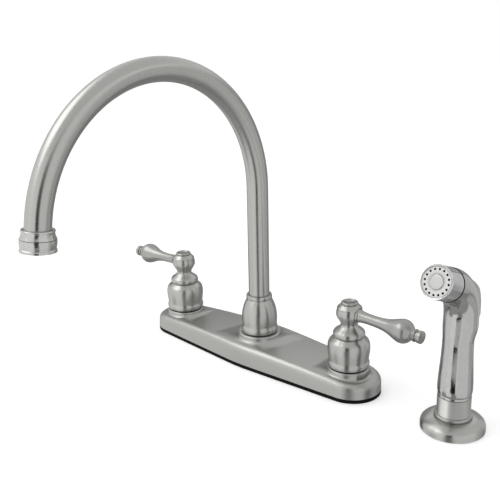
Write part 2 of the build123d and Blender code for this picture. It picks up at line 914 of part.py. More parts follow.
# -------------------------------------------------------------------- diverter
diverter_base = gasket_thick + plate_wall + seam
with BuildPart() as diverter_plunger:
    with BuildSketch(Plane.XY.offset(diverter_base)):
        Circle(diverter_stem_radius)
    extrude(amount=diverter_height)
    with BuildSketch(Plane.XY.offset(diverter_base)):
        Circle(diverter_radius)
    extrude(amount=diverter_head)
write_piece(diverter_plunger.part, "diverter_plunger")

spring_start = diverter_base + diverter_head + running
with BuildPart() as diverter_spring:
    with BuildSketch(Plane.XY.offset(spring_start)):
        Circle(diverter_radius - seam)
        Circle(diverter_radius - seam - diverter_spring_wall, mode=Mode.SUBTRACT)
    extrude(amount=spout_floor - spring_start)
write_piece(diverter_spring.part, "diverter_spring")

with BuildPart() as diverter_guide:
    with BuildSketch(Plane.XY.offset(spout_floor + running)):
        Circle(spout_bore - slack)
        Circle(diverter_stem_radius + slack, mode=Mode.SUBTRACT)
    extrude(amount=diverter_cap)
write_piece(diverter_guide.part, "diverter_guide")

# --------------------------------------------------------------- spray holder
spray_x = 2 * hole_pitch - spray_inward
spray_place = (spray_x, spray_back)
spray_origin = (spray_x, spray_back, 0)
spray_axis = Axis(spray_origin, (0, 0, 1))
spray_plane = Plane(origin=spray_origin, x_dir=(0, -1, 0), z_dir=(-1, 0, 0))

with BuildPart() as holder_gasket:
    with BuildSketch(Plane.XY):
        with Locations(spray_place):
            Circle(flange_radius - flange_wall - seam)
            Circle(sleeve_radius + seam, mode=Mode.SUBTRACT)
    extrude(amount=holder_gasket_thick)
write_piece(holder_gasket.part, "holder_gasket")

with BuildPart() as holder_flange:
    with BuildSketch(spray_plane):
        with BuildLine():
            Polyline(
                (sleeve_radius + slack, flange_height),
                (sleeve_radius + slack, holder_gasket_thick + seam),
                (flange_radius - flange_wall, holder_gasket_thick + seam),
                (flange_radius - flange_wall, 0),
                (flange_radius, 0),
                (flange_radius, flange_side),
            )
            Spline(
                (flange_radius, flange_side),
                (flange_brow_radius, flange_brow),
                (flange_neck_radius + flange_wall, flange_height - seam),
                (flange_neck_radius, flange_height),
                tangents=((0, 1), (-1, 0.1)),
            )
            Line((flange_neck_radius, flange_height), (sleeve_radius + slack, flange_height))
        make_face()
    revolve(axis=spray_axis)
write_piece(holder_flange.part, "holder_flange")

shoulder_top = flange_height + sleeve_shoulder
with BuildPart() as holder_sleeve:
    with BuildSketch(spray_plane):
        with BuildLine():
            Polyline(
                (sleeve_radius - sleeve_wall, sleeve_top),
                (sleeve_radius, sleeve_top),
                (sleeve_radius, shoulder_top),
                (sleeve_shoulder_radius, shoulder_top),
                (sleeve_shoulder_radius, flange_height + running),
                (sleeve_radius, flange_height + running),
                (sleeve_radius, -sleeve_shank),
                (sleeve_radius - sleeve_wall, -sleeve_shank),
                close=True,
            )
        make_face()
    revolve(axis=spray_axis)
    shoulder_rim = (spray_x + sleeve_shoulder_radius, spray_back, shoulder_top)
    fillet(holder_sleeve.edges().sort_by_distance(shoulder_rim)[0], radius=shoulder_round)
write_piece(holder_sleeve.part, "holder_sleeve")

with BuildPart() as holder_washer:
    with BuildSketch(Plane.XY.offset(washer_top)):
        with Locations(spray_place):
            Circle(holder_nut_radius + washer_thick)
            Circle(sleeve_radius + slack, mode=Mode.SUBTRACT)
    extrude(amount=-washer_thick)
write_piece(holder_washer.part, "holder_washer")

with BuildPart() as holder_nut:
    with BuildSketch(Plane.XY.offset(washer_top - washer_thick)):
        with Locations(spray_place):
            RegularPolygon(holder_nut_radius, 6, major_radius=False)
            Circle(sleeve_radius + running, mode=Mode.SUBTRACT)
    extrude(amount=-nut_height)
write_piece(holder_nut.part, "holder_nut")

# ------------------------------------------------------------------ wand shape
# In the spray plane the first coordinate runs forward and the second one up.
tilt = math.radians(face_tilt)
turn = 90 - face_tilt
elbow_middle = elbow_radius - neck_set_back
barrel_run = (face_reach - elbow_middle + elbow_radius * math.sin(tilt)) / math.cos(tilt)
elbow_base = face_height - elbow_radius * math.cos(tilt) - barrel_run * math.sin(tilt)
waist_height = elbow_base - waist_drop
wand_base = sleeve_top + base_ring_thick
head_start = barrel_run - barrel_length
face_normal = Vector(0, -math.cos(tilt), math.sin(tilt))
face_centre = Vector(spray_x, spray_back - face_reach, face_height)

with BuildLine(spray_plane) as neck_line:
    neck_arc = JernArc(
        start=(-neck_set_back, elbow_base), tangent=(0, 1), radius=elbow_radius, arc_size=-turn
    )
    Line(neck_arc @ 1, (neck_arc @ 1) + face_normal * (head_start - seam))
with BuildLine(spray_plane) as bore_line:
    rise = Line((-neck_set_back, waist_height), (-neck_set_back, elbow_base))
    bore_arc = JernArc(start=rise @ 1, tangent=rise % 1, radius=elbow_radius, arc_size=-turn)
    Line(bore_arc @ 1, (bore_arc @ 1) + face_normal * (head_start - seam))

# The trigger lies along the elbow's back, between two radii from its centre.
elbow_outside = elbow_radius + neck_radius
trigger_inner = elbow_outside + trigger_gap
trigger_outer = trigger_inner + trigger_depth
trigger_web = trigger_outer - trigger_thick
trigger_bottom = elbow_base - trigger_drop
plunger_height = elbow_base - plunger_drop
pivot_radius = elbow_outside - pivot_inset
pivot_turn = math.radians(pivot_angle)
pivot_forward = elbow_middle - pivot_radius * math.cos(pivot_turn)
pivot_up = elbow_base + pivot_radius * math.sin(pivot_turn)
trigger_end = pivot_turn + math.radians(trigger_overhang)
channel_end = pivot_turn + math.radians(2 * trigger_overhang)
cheek_end = math.radians(cheek_reach)


def on_elbow(radius, angle):
    """Point in the spray plane at a radius and an angle round the elbow's centre."""
    return (elbow_middle - radius * math.cos(angle), elbow_base + radius * math.sin(angle))


def elbow_strip(inner, outer, tip, bottom, end_angle):
    """Outline of a strip up the wand's back and round the elbow, thinned to a tip radius."""
    middle = (3 * outer + tip) / 4
    with BuildSketch(spray_plane) as strip:
        with BuildLine():
            Line((elbow_middle - inner, bottom), on_elbow(inner, 0))
            ThreePointArc(on_elbow(inner, 0), on_elbow(inner, end_angle / 2), on_elbow(inner, end_angle))
            Line(on_elbow(inner, end_angle), on_elbow(tip, end_angle))
            ThreePointArc(on_elbow(tip, end_angle), on_elbow(middle, end_angle / 2), on_elbow(outer, 0))
            Polyline(on_elbow(outer, 0), (elbow_middle - outer, bottom), (elbow_middle - inner, bottom))
        make_face()
    return strip.sketch


plunger_line = Plane(
    origin=(spray_x, spray_back, plunger_height),
    x_dir=(1, 0, 0),
    z_dir=(0, -1, 0),
)
channel_floor_radius = elbow_outside - channel_depth
channel_floor = elbow_middle - channel_floor_radius
plunger_back = elbow_middle - trigger_web + seam
spring_back = plunger_back + plunger_cap + running
seat_face = -valve_seat_back

channel_foot = trigger_bottom - trigger_foot_room
blade_channel = elbow_strip(channel_floor_radius, trigger_outer, trigger_outer, channel_foot, cheek_end)
tongue_channel = elbow_strip(channel_floor_radius, trigger_outer, trigger_outer, channel_foot, channel_end)
trigger_blade = elbow_strip(
    trigger_inner, trigger_outer, trigger_inner + trigger_tip_depth, trigger_bottom, trigger_end
)
blade_hollow = elbow_strip(trigger_inner, trigger_web, trigger_web, trigger_bottom, cheek_end)

# ------------------------------------------------------------------- wand body
loft_drops = (waist_drop, *swell_drops, 0)
loft_set_backs = (0, *swell_set_backs, neck_set_back)
loft_radii = (wand_waist_radius, *swell_radii, neck_radius)
with BuildPart() as wand_body:
    with BuildSketch(spray_plane):
        with BuildLine():
            Line((0, wand_base), (wand_foot_radius, wand_base))
            Spline(
                (wand_foot_radius, wand_base),
                (wand_belly_radius, wand_belly),
                (wand_waist_radius, waist_height),
                tangents=((0.4, 1), (0, 1)),
            )
            Polyline((wand_waist_radius, waist_height), (0, waist_height), (0, wand_base))
        make_face()
    revolve(axis=spray_axis)
    for drop, set_back, radius in zip(loft_drops, loft_set_backs, loft_radii):
        with BuildSketch(Plane.XY.offset(elbow_base - drop)):
            with Locations((spray_x, spray_back + set_back)):
                Circle(radius)
    loft()
    with BuildSketch(Plane.XY.offset(elbow_base)):
        with Locations((spray_x, spray_back + neck_set_back)):
            Circle(neck_radius)
    sweep(path=neck_line.wires()[0])
    with BuildSketch(Plane.XY.offset(wand_base)):
        with Locations(spray_place):
            Circle(wand_bore)
    extrude(amount=elbow_base - wand_base, mode=Mode.SUBTRACT)
    with BuildSketch(Plane.XY.offset(waist_height)):
        with Locations((spray_x, spray_back + neck_set_back)):
            Circle(wand_bore)
    sweep(path=bore_line.wires()[0], mode=Mode.SUBTRACT)
    extrude(blade_channel, amount=trigger_half_width + channel_side, both=True, mode=Mode.SUBTRACT)
    extrude(tongue_channel, amount=tongue_half_width + channel_side, both=True, mode=Mode.SUBTRACT)
    with BuildSketch(plunger_line.offset(channel_floor + running)):
        Circle(valve_seat_radius)
    extrude(amount=seat_face - channel_floor - running)
    with BuildSketch(plunger_line.offset(channel_floor)):
        Circle(plunger_radius + running)
    extrude(amount=seat_face - channel_floor, mode=Mode.SUBTRACT)
    with BuildSketch(Plane(origin=(spray_x, spray_back - pivot_forward, pivot_up), z_dir=(1, 0, 0))):
        Circle(pin_radius + running)
    extrude(amount=neck_radius, both=True, mode=Mode.SUBTRACT)
write_piece(wand_body.part, "wand_body")

with BuildPart() as base_ring:
    with BuildSketch(Plane.XY.offset(sleeve_top + seam)):
        with Locations(spray_place):
            Circle(base_ring_radius)
            Circle(wand_bore, mode=Mode.SUBTRACT)
    extrude(amount=base_ring_thick - seam - running)
    outer_rims = base_ring.edges().filter_by(GeomType.CIRCLE).sort_by(SortBy.RADIUS)[-2:]
    fillet(outer_rims, radius=base_ring_round)
write_piece(base_ring.part, "base_ring")

with BuildPart() as wand_tail:
    with BuildSketch(spray_plane):
        with BuildLine():
            Polyline(
                (tail_inlet_radius, tail_bottom),
                (tail_tip_radius, tail_bottom),
                (tail_radius, tail_bottom + tail_inlet_depth),
                (tail_radius, sleeve_top + seam - running),
                (wand_bore - running, sleeve_top + seam - running),
                (wand_bore - running, wand_base + tail_spigot),
                (tail_bore, wand_base + tail_spigot),
                (tail_bore, tail_bottom + tail_inlet_depth),
                (tail_inlet_radius, tail_bottom + tail_inlet_depth),
                close=True,
            )
        make_face()
    revolve(axis=spray_axis)
write_piece(wand_tail.part, "wand_tail")

# ------------------------------------------------------------------ spray head
head_plane = Plane(origin=face_centre, x_dir=(1, 0, 0), z_dir=face_normal)
head_section = Plane(
    origin=face_centre,
    x_dir=(1, 0, 0),
    z_dir=Vector(1, 0, 0).cross(face_normal),
)
head_axis = Axis(face_centre, face_normal)
with BuildPart() as head_shell:
    with BuildSketch(head_section):
        with BuildLine():
            Polyline(
                (face_radius + slack, face_set_back),
                (barrel_radius - 2 * slack, face_set_back),
                (barrel_radius, 0),
                (barrel_radius, -barrel_length),
                (wand_bore, -barrel_length),
                (wand_bore, barrel_back - barrel_length),
                (face_radius - barrel_wall, barrel_back - barrel_length),
                (face_radius - barrel_wall, -face_thick - running),
                (face_radius + slack, -face_thick - running),
                close=True,
            )
        make_face()
    revolve(axis=head_axis)
write_piece(head_shell.part, "head_shell")

with BuildPart() as spray_face:
    with BuildSketch(head_plane.offset(-face_thick)):
        Circle(face_radius)
        with PolarLocations(spray_hole_circle, spray_holes):
            Circle(spray_hole_radius, mode=Mode.SUBTRACT)
    extrude(amount=face_thick)
    with BuildSketch(head_plane):
        Circle(hub_disc_radius + slack)
    extrude(amount=-face_thick / 2, mode=Mode.SUBTRACT)
write_piece(spray_face.part, "spray_face")

with BuildPart() as face_button:
    with BuildSketch(head_plane.offset(-face_thick / 2 + running)):
        Circle(hub_disc_radius)
    extrude(amount=face_thick / 2 + hub_disc_rise)
    fillet(face_button.faces().sort_by(head_axis)[-1].edges(), radius=hub_disc_rise)
write_piece(face_button.part, "face_button")

# --------------------------------------------------------------------- trigger
eye_turn = (eye_radius - seam) / pivot_radius
with BuildPart() as trigger_lever:
    extrude(trigger_blade, amount=trigger_half_width, both=True)
    extrude(blade_hollow, amount=trigger_half_width - trigger_side, both=True, mode=Mode.SUBTRACT)
    with BuildSketch(spray_plane):
        with Locations((pivot_forward, pivot_up)):
            Circle(eye_radius)
        with BuildLine():
            Polyline(
                on_elbow(pivot_radius, pivot_turn - eye_turn),
                on_elbow(trigger_inner + running, pivot_turn - eye_turn),
                on_elbow(trigger_inner + running, pivot_turn + eye_turn),
                on_elbow(pivot_radius, pivot_turn + eye_turn),
                close=True,
            )
        make_face()
    extrude(amount=tongue_half_width, both=True)
    with BuildSketch(spray_plane):
        with Locations((pivot_forward, pivot_up)):
            Circle(pin_radius + running)
    extrude(amount=tongue_half_width, both=True, mode=Mode.SUBTRACT)
write_piece(trigger_lever.part, "trigger_lever")

pin_half_length = math.sqrt(neck_radius**2 - (neck_radius - pivot_inset) ** 2) - seam
with BuildPart() as trigger_pin:
    with BuildSketch(spray_plane):
        with Locations((pivot_forward, pivot_up)):
            Circle(pin_radius)
    extrude(amount=pin_half_length, both=True)
write_piece(trigger_pin.part, "trigger_pin")

with BuildPart() as valve_plunger:
    with BuildSketch(plunger_line.offset(plunger_back)):
        Circle(plunger_cap_radius)
    extrude(amount=plunger_cap)
    with BuildSketch(plunger_line.offset(plunger_back)):
        Circle(plunger_radius)
    extrude(amount=seat_face + seam - plunger_back)
    with BuildSketch(plunger_line.offset(seat_face + seam)):
        Circle(plunger_disc_radius)
    extrude(amount=plunger_disc)
write_piece(valve_plunger.part, "valve_plunger")

with BuildPart() as trigger_spring:
    with BuildSketch(plunger_line.offset(spring_back)):
        Circle(plunger_cap_radius)
        Circle(plunger_radius + seam, mode=Mode.SUBTRACT)
    extrude(amount=channel_floor - running - spring_back)
write_piece(trigger_spring.part, "trigger_spring")
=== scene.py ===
"""Side spray kitchen faucet in satin nickel: finishes, fine pieces, studio and camera.

Lengths are in metres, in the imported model's own frame: +Z up, +X from the hot
handle to the cold one, -Y towards the user.
"""

from __future__ import annotations

import json
import logging
import math
from dataclasses import dataclass
from enum import Enum

import bmesh
import bpy
from mathutils import Matrix, Vector

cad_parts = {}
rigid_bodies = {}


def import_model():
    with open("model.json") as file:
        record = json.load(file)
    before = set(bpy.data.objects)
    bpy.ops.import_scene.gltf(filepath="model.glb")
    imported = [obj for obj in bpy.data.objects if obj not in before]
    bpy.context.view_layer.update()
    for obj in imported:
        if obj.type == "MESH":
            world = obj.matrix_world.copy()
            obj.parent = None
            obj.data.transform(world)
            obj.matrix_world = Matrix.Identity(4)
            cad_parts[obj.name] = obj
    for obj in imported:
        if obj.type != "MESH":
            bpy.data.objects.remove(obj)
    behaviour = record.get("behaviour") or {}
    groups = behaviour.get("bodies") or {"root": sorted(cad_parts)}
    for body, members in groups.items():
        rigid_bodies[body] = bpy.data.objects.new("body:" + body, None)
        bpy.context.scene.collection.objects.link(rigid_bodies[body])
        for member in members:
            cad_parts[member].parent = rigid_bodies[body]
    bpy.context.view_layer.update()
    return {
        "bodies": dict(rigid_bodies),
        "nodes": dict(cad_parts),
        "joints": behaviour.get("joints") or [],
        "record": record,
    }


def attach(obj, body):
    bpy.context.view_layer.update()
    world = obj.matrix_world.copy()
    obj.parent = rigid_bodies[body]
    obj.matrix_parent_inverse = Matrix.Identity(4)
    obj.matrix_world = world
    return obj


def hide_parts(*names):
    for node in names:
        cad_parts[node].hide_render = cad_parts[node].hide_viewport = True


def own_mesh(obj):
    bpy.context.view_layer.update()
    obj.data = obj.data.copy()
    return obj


LOG = logging.getLogger("faucet")
MM = 0.001
UP = Vector((0.0, 0.0, 1.0))
Pair = tuple[float, float]
Triple = tuple[float, float, float]

# The map that brush lines follow, the quarter turn that lays highlights across
# them, and how fine each pattern is.
BRUSH_MAP = "brush lines"
ACROSS_LINES = 0.25
CAST_GRAIN = 260.0
BRUSH_GRAIN = (6.0, 2600.0, 1.0)
BLOTCH_GRAIN = 70.0

# Degrees past which an edge stays sharp.
PIECE_CREASE = 32.0
SMALL_CREASE = 40.0
BEAD_CREASE = 60.0

# How near still counts as the same place.
MERGE = 1e-6
ON_PLANE = 1e-7
ON_AXIS = 1e-9


# ---- Shader building ----


def work_out(
    tree: bpy.types.NodeTree,
    operation: str,
    *values: float | bpy.types.NodeSocket,
) -> bpy.types.NodeSocket:
    """Add one Math node to a tree.

    Args:
        tree: the node tree.
        operation: what the node does.
        values: plain numbers, or the sockets that bring them.

    Returns:
        The socket with the answer.
    """
    step = tree.nodes.new("ShaderNodeMath")
    step.operation = operation
    for socket, value in zip(step.inputs, values):
        if isinstance(value, bpy.types.NodeSocket):
            tree.links.new(value, socket)
        else:
            socket.default_value = value
    return step.outputs[0]


def spread_out(
    tree: bpy.types.NodeTree,
    value: bpy.types.NodeSocket,
    wanted: Pair,
    given: Pair = (0.0, 1.0),
) -> bpy.types.NodeSocket:
    """Map one range of numbers onto another.

    Args:
        tree: the node tree.
        value: the socket that brings the number.
        wanted: the range it is mapped onto.
        given: the range it comes in.

    Returns:
        The socket with the mapped number.
    """
    step = tree.nodes.new("ShaderNodeMapRange")
    step.inputs["From Min"].default_value, step.inputs["From Max"].default_value = given
    step.inputs["To Min"].default_value, step.inputs["To Max"].default_value = wanted
    tree.links.new(value, step.inputs["Value"])
    return step.outputs["Result"]


@dataclass(frozen=True)
class Coat:
    """A material in the making: its shared group and its Principled shader."""

    material: bpy.types.Material
    group: bpy.types.Node
    shader: bpy.types.Node


@dataclass(frozen=True)
class Brushed:
    """A satin metal whose brush lines follow the piece, as its brush map lays them.

    The spread is how far the sheen changes, the depth is the lines' own in metres,
    and the stretch is how far they draw a highlight out.
    """

    name: str
    colour: Triple
    roughness: float
    spread: float
    depth: float
    stretch: float

    def build(self, kit: "ShaderKit") -> bpy.types.Material:
        """Make the material.

        Args:
            kit: the shared shader groups.

        Returns:
            The finished material.
        """
        coat = kit.coat(self.name, kit.brushed, self.colour, self.roughness, self.depth)
        nodes, links = coat.material.node_tree.nodes, coat.material.node_tree.links
        chart = nodes.new("ShaderNodeUVMap")
        chart.uv_map = BRUSH_MAP
        links.new(chart.outputs["UV"], coat.group.inputs["Chart"])
        coat.group.inputs["Spread"].default_value = self.spread
        tangent = nodes.new("ShaderNodeTangent")
        tangent.direction_type = "UV_MAP"
        tangent.uv_map = BRUSH_MAP
        links.new(tangent.outputs["Tangent"], coat.shader.inputs["Tangent"])
        coat.shader.inputs["Metallic"].default_value = 1.0
        coat.shader.inputs["Anisotropic"].default_value = self.stretch
        coat.shader.inputs["Anisotropic Rotation"].default_value = ACROSS_LINES
        return coat.material


@dataclass(frozen=True)
class Polished:
    """A plated metal without brush lines, slightly uneven as a cast piece is."""

    name: str
    colour: Triple
    roughness: float
    depth: float

    def build(self, kit: "ShaderKit") -> bpy.types.Material:
        """Make the material.

        Args:
            kit: the shared shader groups.

        Returns:
            The finished material.
        """
        coat = kit.coat(self.name, kit.skin, self.colour, self.roughness, self.depth)
        coat.group.inputs["Scale"].default_value = CAST_GRAIN
        coat.shader.inputs["Metallic"].default_value = 1.0
        return coat.material


@dataclass(frozen=True)
class Moulded:
    """A moulded plastic, rubber or ceramic finish with a fine skin texture."""

    name: str
    colour: Triple
    roughness: float
    depth: float
    scale: float
    level: float = 0.5

    def build(self, kit: "ShaderKit") -> bpy.types.Material:
        """Make the material.

        Args:
            kit: the shared shader groups.

        Returns:
            The finished material.
        """
        coat = kit.coat(self.name, kit.skin, self.colour, self.roughness, self.depth)
        coat.group.inputs["Scale"].default_value = self.scale
        coat.shader.inputs["Specular IOR Level"].default_value = self.level
        return coat.material


class ShaderKit:
    """Shader groups that several finishes share."""

    def __init__(self) -> None:
        """Build both groups once."""
        self.brushed = self._brushed_group()
        self.skin = self._skin_group()

    @staticmethod
    def coat(name: str, tree: bpy.types.NodeTree, colour: Triple, roughness: float, depth: float) -> Coat:
        """Begin a material whose tone, sheen and relief come from a shared group.

        Args:
            name: the material's name.
            tree: the shared group.
            colour: its main colour.
            roughness: its main roughness.
            depth: how deep its relief is, in metres.

        Returns:
            The material in the making.
        """
        material = bpy.data.materials.new(name)
        material.use_nodes = True
        nodes, links = material.node_tree.nodes, material.node_tree.links
        shader = nodes["Principled BSDF"]
        coords = nodes.new("ShaderNodeTexCoord")
        group = nodes.new("ShaderNodeGroup")
        group.node_tree = tree
        group.inputs["Colour"].default_value = (*colour, 1.0)
        group.inputs["Roughness"].default_value = roughness
        links.new(coords.outputs["Object"], group.inputs["Place"])
        links.new(group.outputs["Colour"], shader.inputs["Base Color"])
        links.new(group.outputs["Roughness"], shader.inputs["Roughness"])
        bump = nodes.new("ShaderNodeBump")
        bump.inputs["Strength"].default_value = 1.0
        bump.inputs["Distance"].default_value = depth
        links.new(group.outputs["Height"], bump.inputs["Height"])
        links.new(bump.outputs["Normal"], shader.inputs["Normal"])
        return Coat(material, group, shader)

    @staticmethod
    def _open(name: str, **extra: str) -> tuple:
        """Begin a group with the sockets that every finish has, and its own.

        Args:
            name: the group's name.
            extra: names and types of its own sockets going in.

        Returns:
            The tree, its input node and its output node.
        """
        number, colour, vector = "NodeSocketFloat", "NodeSocketColor", "NodeSocketVector"
        tree = bpy.data.node_groups.new(name, "ShaderNodeTree")
        for label, kind in {"Place": vector, "Colour": colour, "Roughness": number, **extra}.items():
            tree.interface.new_socket(label, in_out="INPUT", socket_type=kind)
        for label, kind in {"Colour": colour, "Roughness": number, "Height": number}.items():
            tree.interface.new_socket(label, in_out="OUTPUT", socket_type=kind)
        return tree, tree.nodes.new("NodeGroupInput"), tree.nodes.new("NodeGroupOutput")

    @staticmethod
    def _noise(
        tree: bpy.types.NodeTree,
        place: bpy.types.NodeSocket,
        scale: float | bpy.types.NodeSocket,
        detail: float,
    ) -> bpy.types.NodeSocket:
        """Add one noise pattern.

        Args:
            tree: the group.
            place: the socket that says where the point lies.
            scale: how fine the pattern is, as a number or a socket.
            detail: how many finer layers it has.

        Returns:
            The socket with the pattern, from 0 to 1.
        """
        pattern = tree.nodes.new("ShaderNodeTexNoise")
        pattern.inputs["Detail"].default_value = detail
        tree.links.new(place, pattern.inputs["Vector"])
        if isinstance(scale, bpy.types.NodeSocket):
            tree.links.new(scale, pattern.inputs["Scale"])
        else:
            pattern.inputs["Scale"].default_value = scale
        return pattern.outputs["Fac"]

    @staticmethod
    def _shade(
        tree: bpy.types.NodeTree,
        colour: bpy.types.NodeSocket,
        tone: bpy.types.NodeSocket,
    ) -> bpy.types.NodeSocket:
        """Make a colour lighter or darker.

        Args:
            tree: the group.
            colour: the socket with the colour.
            tone: the socket with the factor.

        Returns:
            The socket with the shaded colour.
        """
        shade = tree.nodes.new("ShaderNodeVectorMath")
        shade.operation = "SCALE"
        tree.links.new(colour, shade.inputs[0])
        tree.links.new(tone, shade.inputs["Scale"])
        return shade.outputs["Vector"]

    def _brushed_group(self) -> bpy.types.NodeTree:
        """Brush lines, soft blotches in the sheen and a slight change of tone.

        Returns:
            The node group.
        """
        tree, start, end = self._open("brushed metal", Chart="NodeSocketVector", Spread="NodeSocketFloat")
        stretch = tree.nodes.new("ShaderNodeVectorMath")
        stretch.operation = "MULTIPLY"
        stretch.inputs[1].default_value = BRUSH_GRAIN
        tree.links.new(start.outputs["Chart"], stretch.inputs[0])
        lines = self._noise(tree, stretch.outputs["Vector"], scale=1.0, detail=3.0)
        blotches = self._noise(tree, start.outputs["Place"], scale=BLOTCH_GRAIN, detail=2.0)
        centred = work_out(tree, "SUBTRACT", work_out(tree, "ADD", lines, blotches), 1.0)
        rough = work_out(tree, "MULTIPLY_ADD", centred, start.outputs["Spread"], start.outputs["Roughness"])
        tone = spread_out(tree, lines, wanted=(0.95, 1.04), given=(0.3, 0.7))
        tree.links.new(self._shade(tree, start.outputs["Colour"], tone), end.inputs["Colour"])
        tree.links.new(rough, end.inputs["Roughness"])
        tree.links.new(lines, end.inputs["Height"])
        return tree

    def _skin_group(self) -> bpy.types.NodeTree:
        """Fine moulded texture with a little variation in tone and gloss.

        Returns:
            The node group.
        """
        tree, start, end = self._open("moulded skin", Scale="NodeSocketFloat")
        grain = self._noise(tree, start.outputs["Place"], scale=start.outputs["Scale"], detail=4.0)
        tone = spread_out(tree, grain, wanted=(0.9, 1.06))
        gloss = work_out(tree, "MULTIPLY", tone, start.outputs["Roughness"])
        tree.links.new(self._shade(tree, start.outputs["Colour"], tone), end.inputs["Colour"])
        tree.links.new(gloss, end.inputs["Roughness"])
        tree.links.new(grain, end.inputs["Height"])
        return tree


class Finish(Enum):
    """Every finish on the faucet."""

    NICKEL = Brushed("satin nickel", (0.48, 0.482, 0.462), 0.3, 0.1, 0.000001, 0.8)
    # Painted shade: the deck plate's satin nickel, made darker than the rest so that its top reads dim.
    NICKEL_PLATE_SHADED = Brushed("satin nickel plate with painted shade", (0.455, 0.457, 0.438), 0.38, 0.1, 0.000001, 0.3)
    # Painted shade: satin nickel made darker for the levers, index buttons and holder sleeve, which dims
    # their highlights.
    NICKEL_LEVER_SHADED = Brushed("satin nickel lever with painted shade", (0.415, 0.417, 0.4), 0.34, 0.12, 0.000003, 0.35)
    NICKEL_WAND = Polished("satin nickel wand", (0.5, 0.5, 0.49), 0.13, 0.000002)
    NICKEL_SHELL = Polished("bright nickel shell", (0.6, 0.6, 0.6), 0.14, 0.000002)
    PEARL = Polished("pearl", (0.6, 0.6, 0.585), 0.3, 0.00001)
    # Painted light: satin nickel made lighter for the spout's collar and aerator housing.
    NICKEL_OUTLET_LIT = Brushed("satin nickel outlet with painted light", (0.56, 0.562, 0.542), 0.24, 0.08, 0.000001, 0.7)
    BRASS = Brushed("plain brass", (0.62, 0.45, 0.2), 0.34, 0.12, 0.000004, 0.5)
    STEEL = Polished("stainless steel", (0.5, 0.5, 0.5), 0.25, 0.000003)
    RUBBER = Moulded("black rubber", (0.006, 0.006, 0.006), 0.8, 0.00002, 1500.0, 0.12)
    BLACK = Moulded("black plastic", (0.02, 0.02, 0.02), 0.42, 0.00001, 2200.0)
    WHITE = Moulded("white plastic", (0.83, 0.83, 0.81), 0.3, 0.000006, 900.0)
    CERAMIC = Moulded("ground ceramic", (0.85, 0.84, 0.8), 0.18, 0.000003, 700.0)


# ---- Lay of the brush lines ----


class Lay:
    """How a piece was brushed: where each point lies round and along its lines."""

    def chart(self, middle: Vector, point: Vector) -> Pair:
        """Turns along the brush lines and metres across them, for a corner of a face with this middle."""
        raise NotImplementedError


@dataclass(frozen=True)
class Turned(Lay):
    """Brushed while it turned about an axis.

    The lines on a flat end are spaced by a share of their radius, so that they
    don't repeat those on the wall.
    """

    point: Triple
    direction: Triple = (0.0, 0.0, 1.0)
    end_share: float = 0.618

    def chart(self, middle: Vector, point: Vector) -> Pair:
        """Turns round the axis, and metres along it and out from it.

        Args:
            middle: the face's middle.
            point: the corner.

        Returns:
            The place on the brush map.
        """
        axis = Vector(self.direction)
        side = axis.orthogonal().normalized()
        front = axis.cross(side)
        away = point - Vector(self.point)
        across, ahead = away.dot(side), away.dot(front)
        turns = math.atan2(ahead, across) / math.tau
        return turns, away.dot(axis) + self.end_share * math.hypot(across, ahead)


@dataclass(frozen=True)
class Straight(Lay):
    """Brushed in straight lines along X."""

    turns_per_metre: float = 8.0

    def chart(self, middle: Vector, point: Vector) -> Pair:
        """Metres along X, scaled as turns are, and metres across."""
        return point.x * self.turns_per_metre, point.y + point.z


@dataclass(frozen=True)
class Bossed(Lay):
    """The deck plate: straight lines, and turned ones on its three bosses.

    Each station is a boss's place along X, its radius and the height of its foot.
    """

    stations: tuple[Triple, ...]

    def chart(self, middle: Vector, point: Vector) -> Pair:
        """Choose the boss under a face, or else the plate.

        Args:
            middle: the face's middle.
            point: the corner.

        Returns:
            The place on the brush map.
        """
        for x, radius, foot in self.stations:
            if middle.z > foot and math.hypot(middle.x - x, middle.y) < radius:
                return Turned((x, 0.0, 0.0)).chart(middle, point)
        return Straight().chart(middle, point)


@dataclass(frozen=True)
class Bent(Lay):
    """A tube brushed round and round: straight up, then bent towards -Y.

    The sweep round the bend starts at nothing and ends past half a turn, so an
    angle under the lowest one belongs to the bend's far end.
    """

    spring: float
    radius: float
    lowest: float = -1.0

    def chart(self, middle: Vector, point: Vector) -> Pair:
        """Turns round the tube and metres along it.

        Args:
            middle: the face's middle, which tells the riser from the bend.
            point: the corner.

        Returns:
            The place on the brush map.
        """
        if middle.z < self.spring and middle.y > -self.radius:
            return math.atan2(point.x, point.y) / math.tau, point.z
        back, rise = point.y + self.radius, point.z - self.spring
        swept = math.atan2(rise, back)
        swept += math.tau if swept < self.lowest else 0.0
        out = math.hypot(back, rise) - self.radius
        return math.atan2(point.x, out) / math.tau, self.spring + swept * self.radius


# ---- Mesh helpers ----


def smooth(mesh: bpy.types.Mesh, crease: float = PIECE_CREASE) -> None:
    """Shade a mesh smooth but for its real edges.

    Args:
        mesh: the mesh to change.
        crease: degrees past which an edge stays sharp.
    """
    for polygon in mesh.polygons:
        polygon.use_smooth = True
    mesh.set_sharp_from_angle(angle=math.radians(crease))


def lay_brush_map(mesh: bpy.types.Mesh, lay: Lay) -> None:
    """Give a mesh the map that its brush lines follow.

    Args:
        mesh: the mesh to change.
        lay: how the piece was brushed.
    """
    chart = mesh.uv_layers.new(name=BRUSH_MAP)
    points = [vertex.co.copy() for vertex in mesh.vertices]
    for polygon in mesh.polygons:
        first = None
        middle = polygon.center
        for corner in polygon.loop_indices:
            turns, metres = lay.chart(middle, points[mesh.loops[corner].vertex_index])
            first = turns if first is None else first
            chart.data[corner].uv = (turns - round(turns - first), metres)


def link(name: str, mesh: bpy.types.Mesh, material: bpy.types.Material) -> bpy.types.Object:
    """Put a mesh into the scene with one material.

    Args:
        name: the object's name.
        mesh: its mesh.
        material: its only material.

    Returns:
        The new object.
    """
    mesh.materials.clear()
    mesh.materials.append(material)
    piece = bpy.data.objects.new(name, mesh)
    bpy.context.scene.collection.objects.link(piece)
    return piece


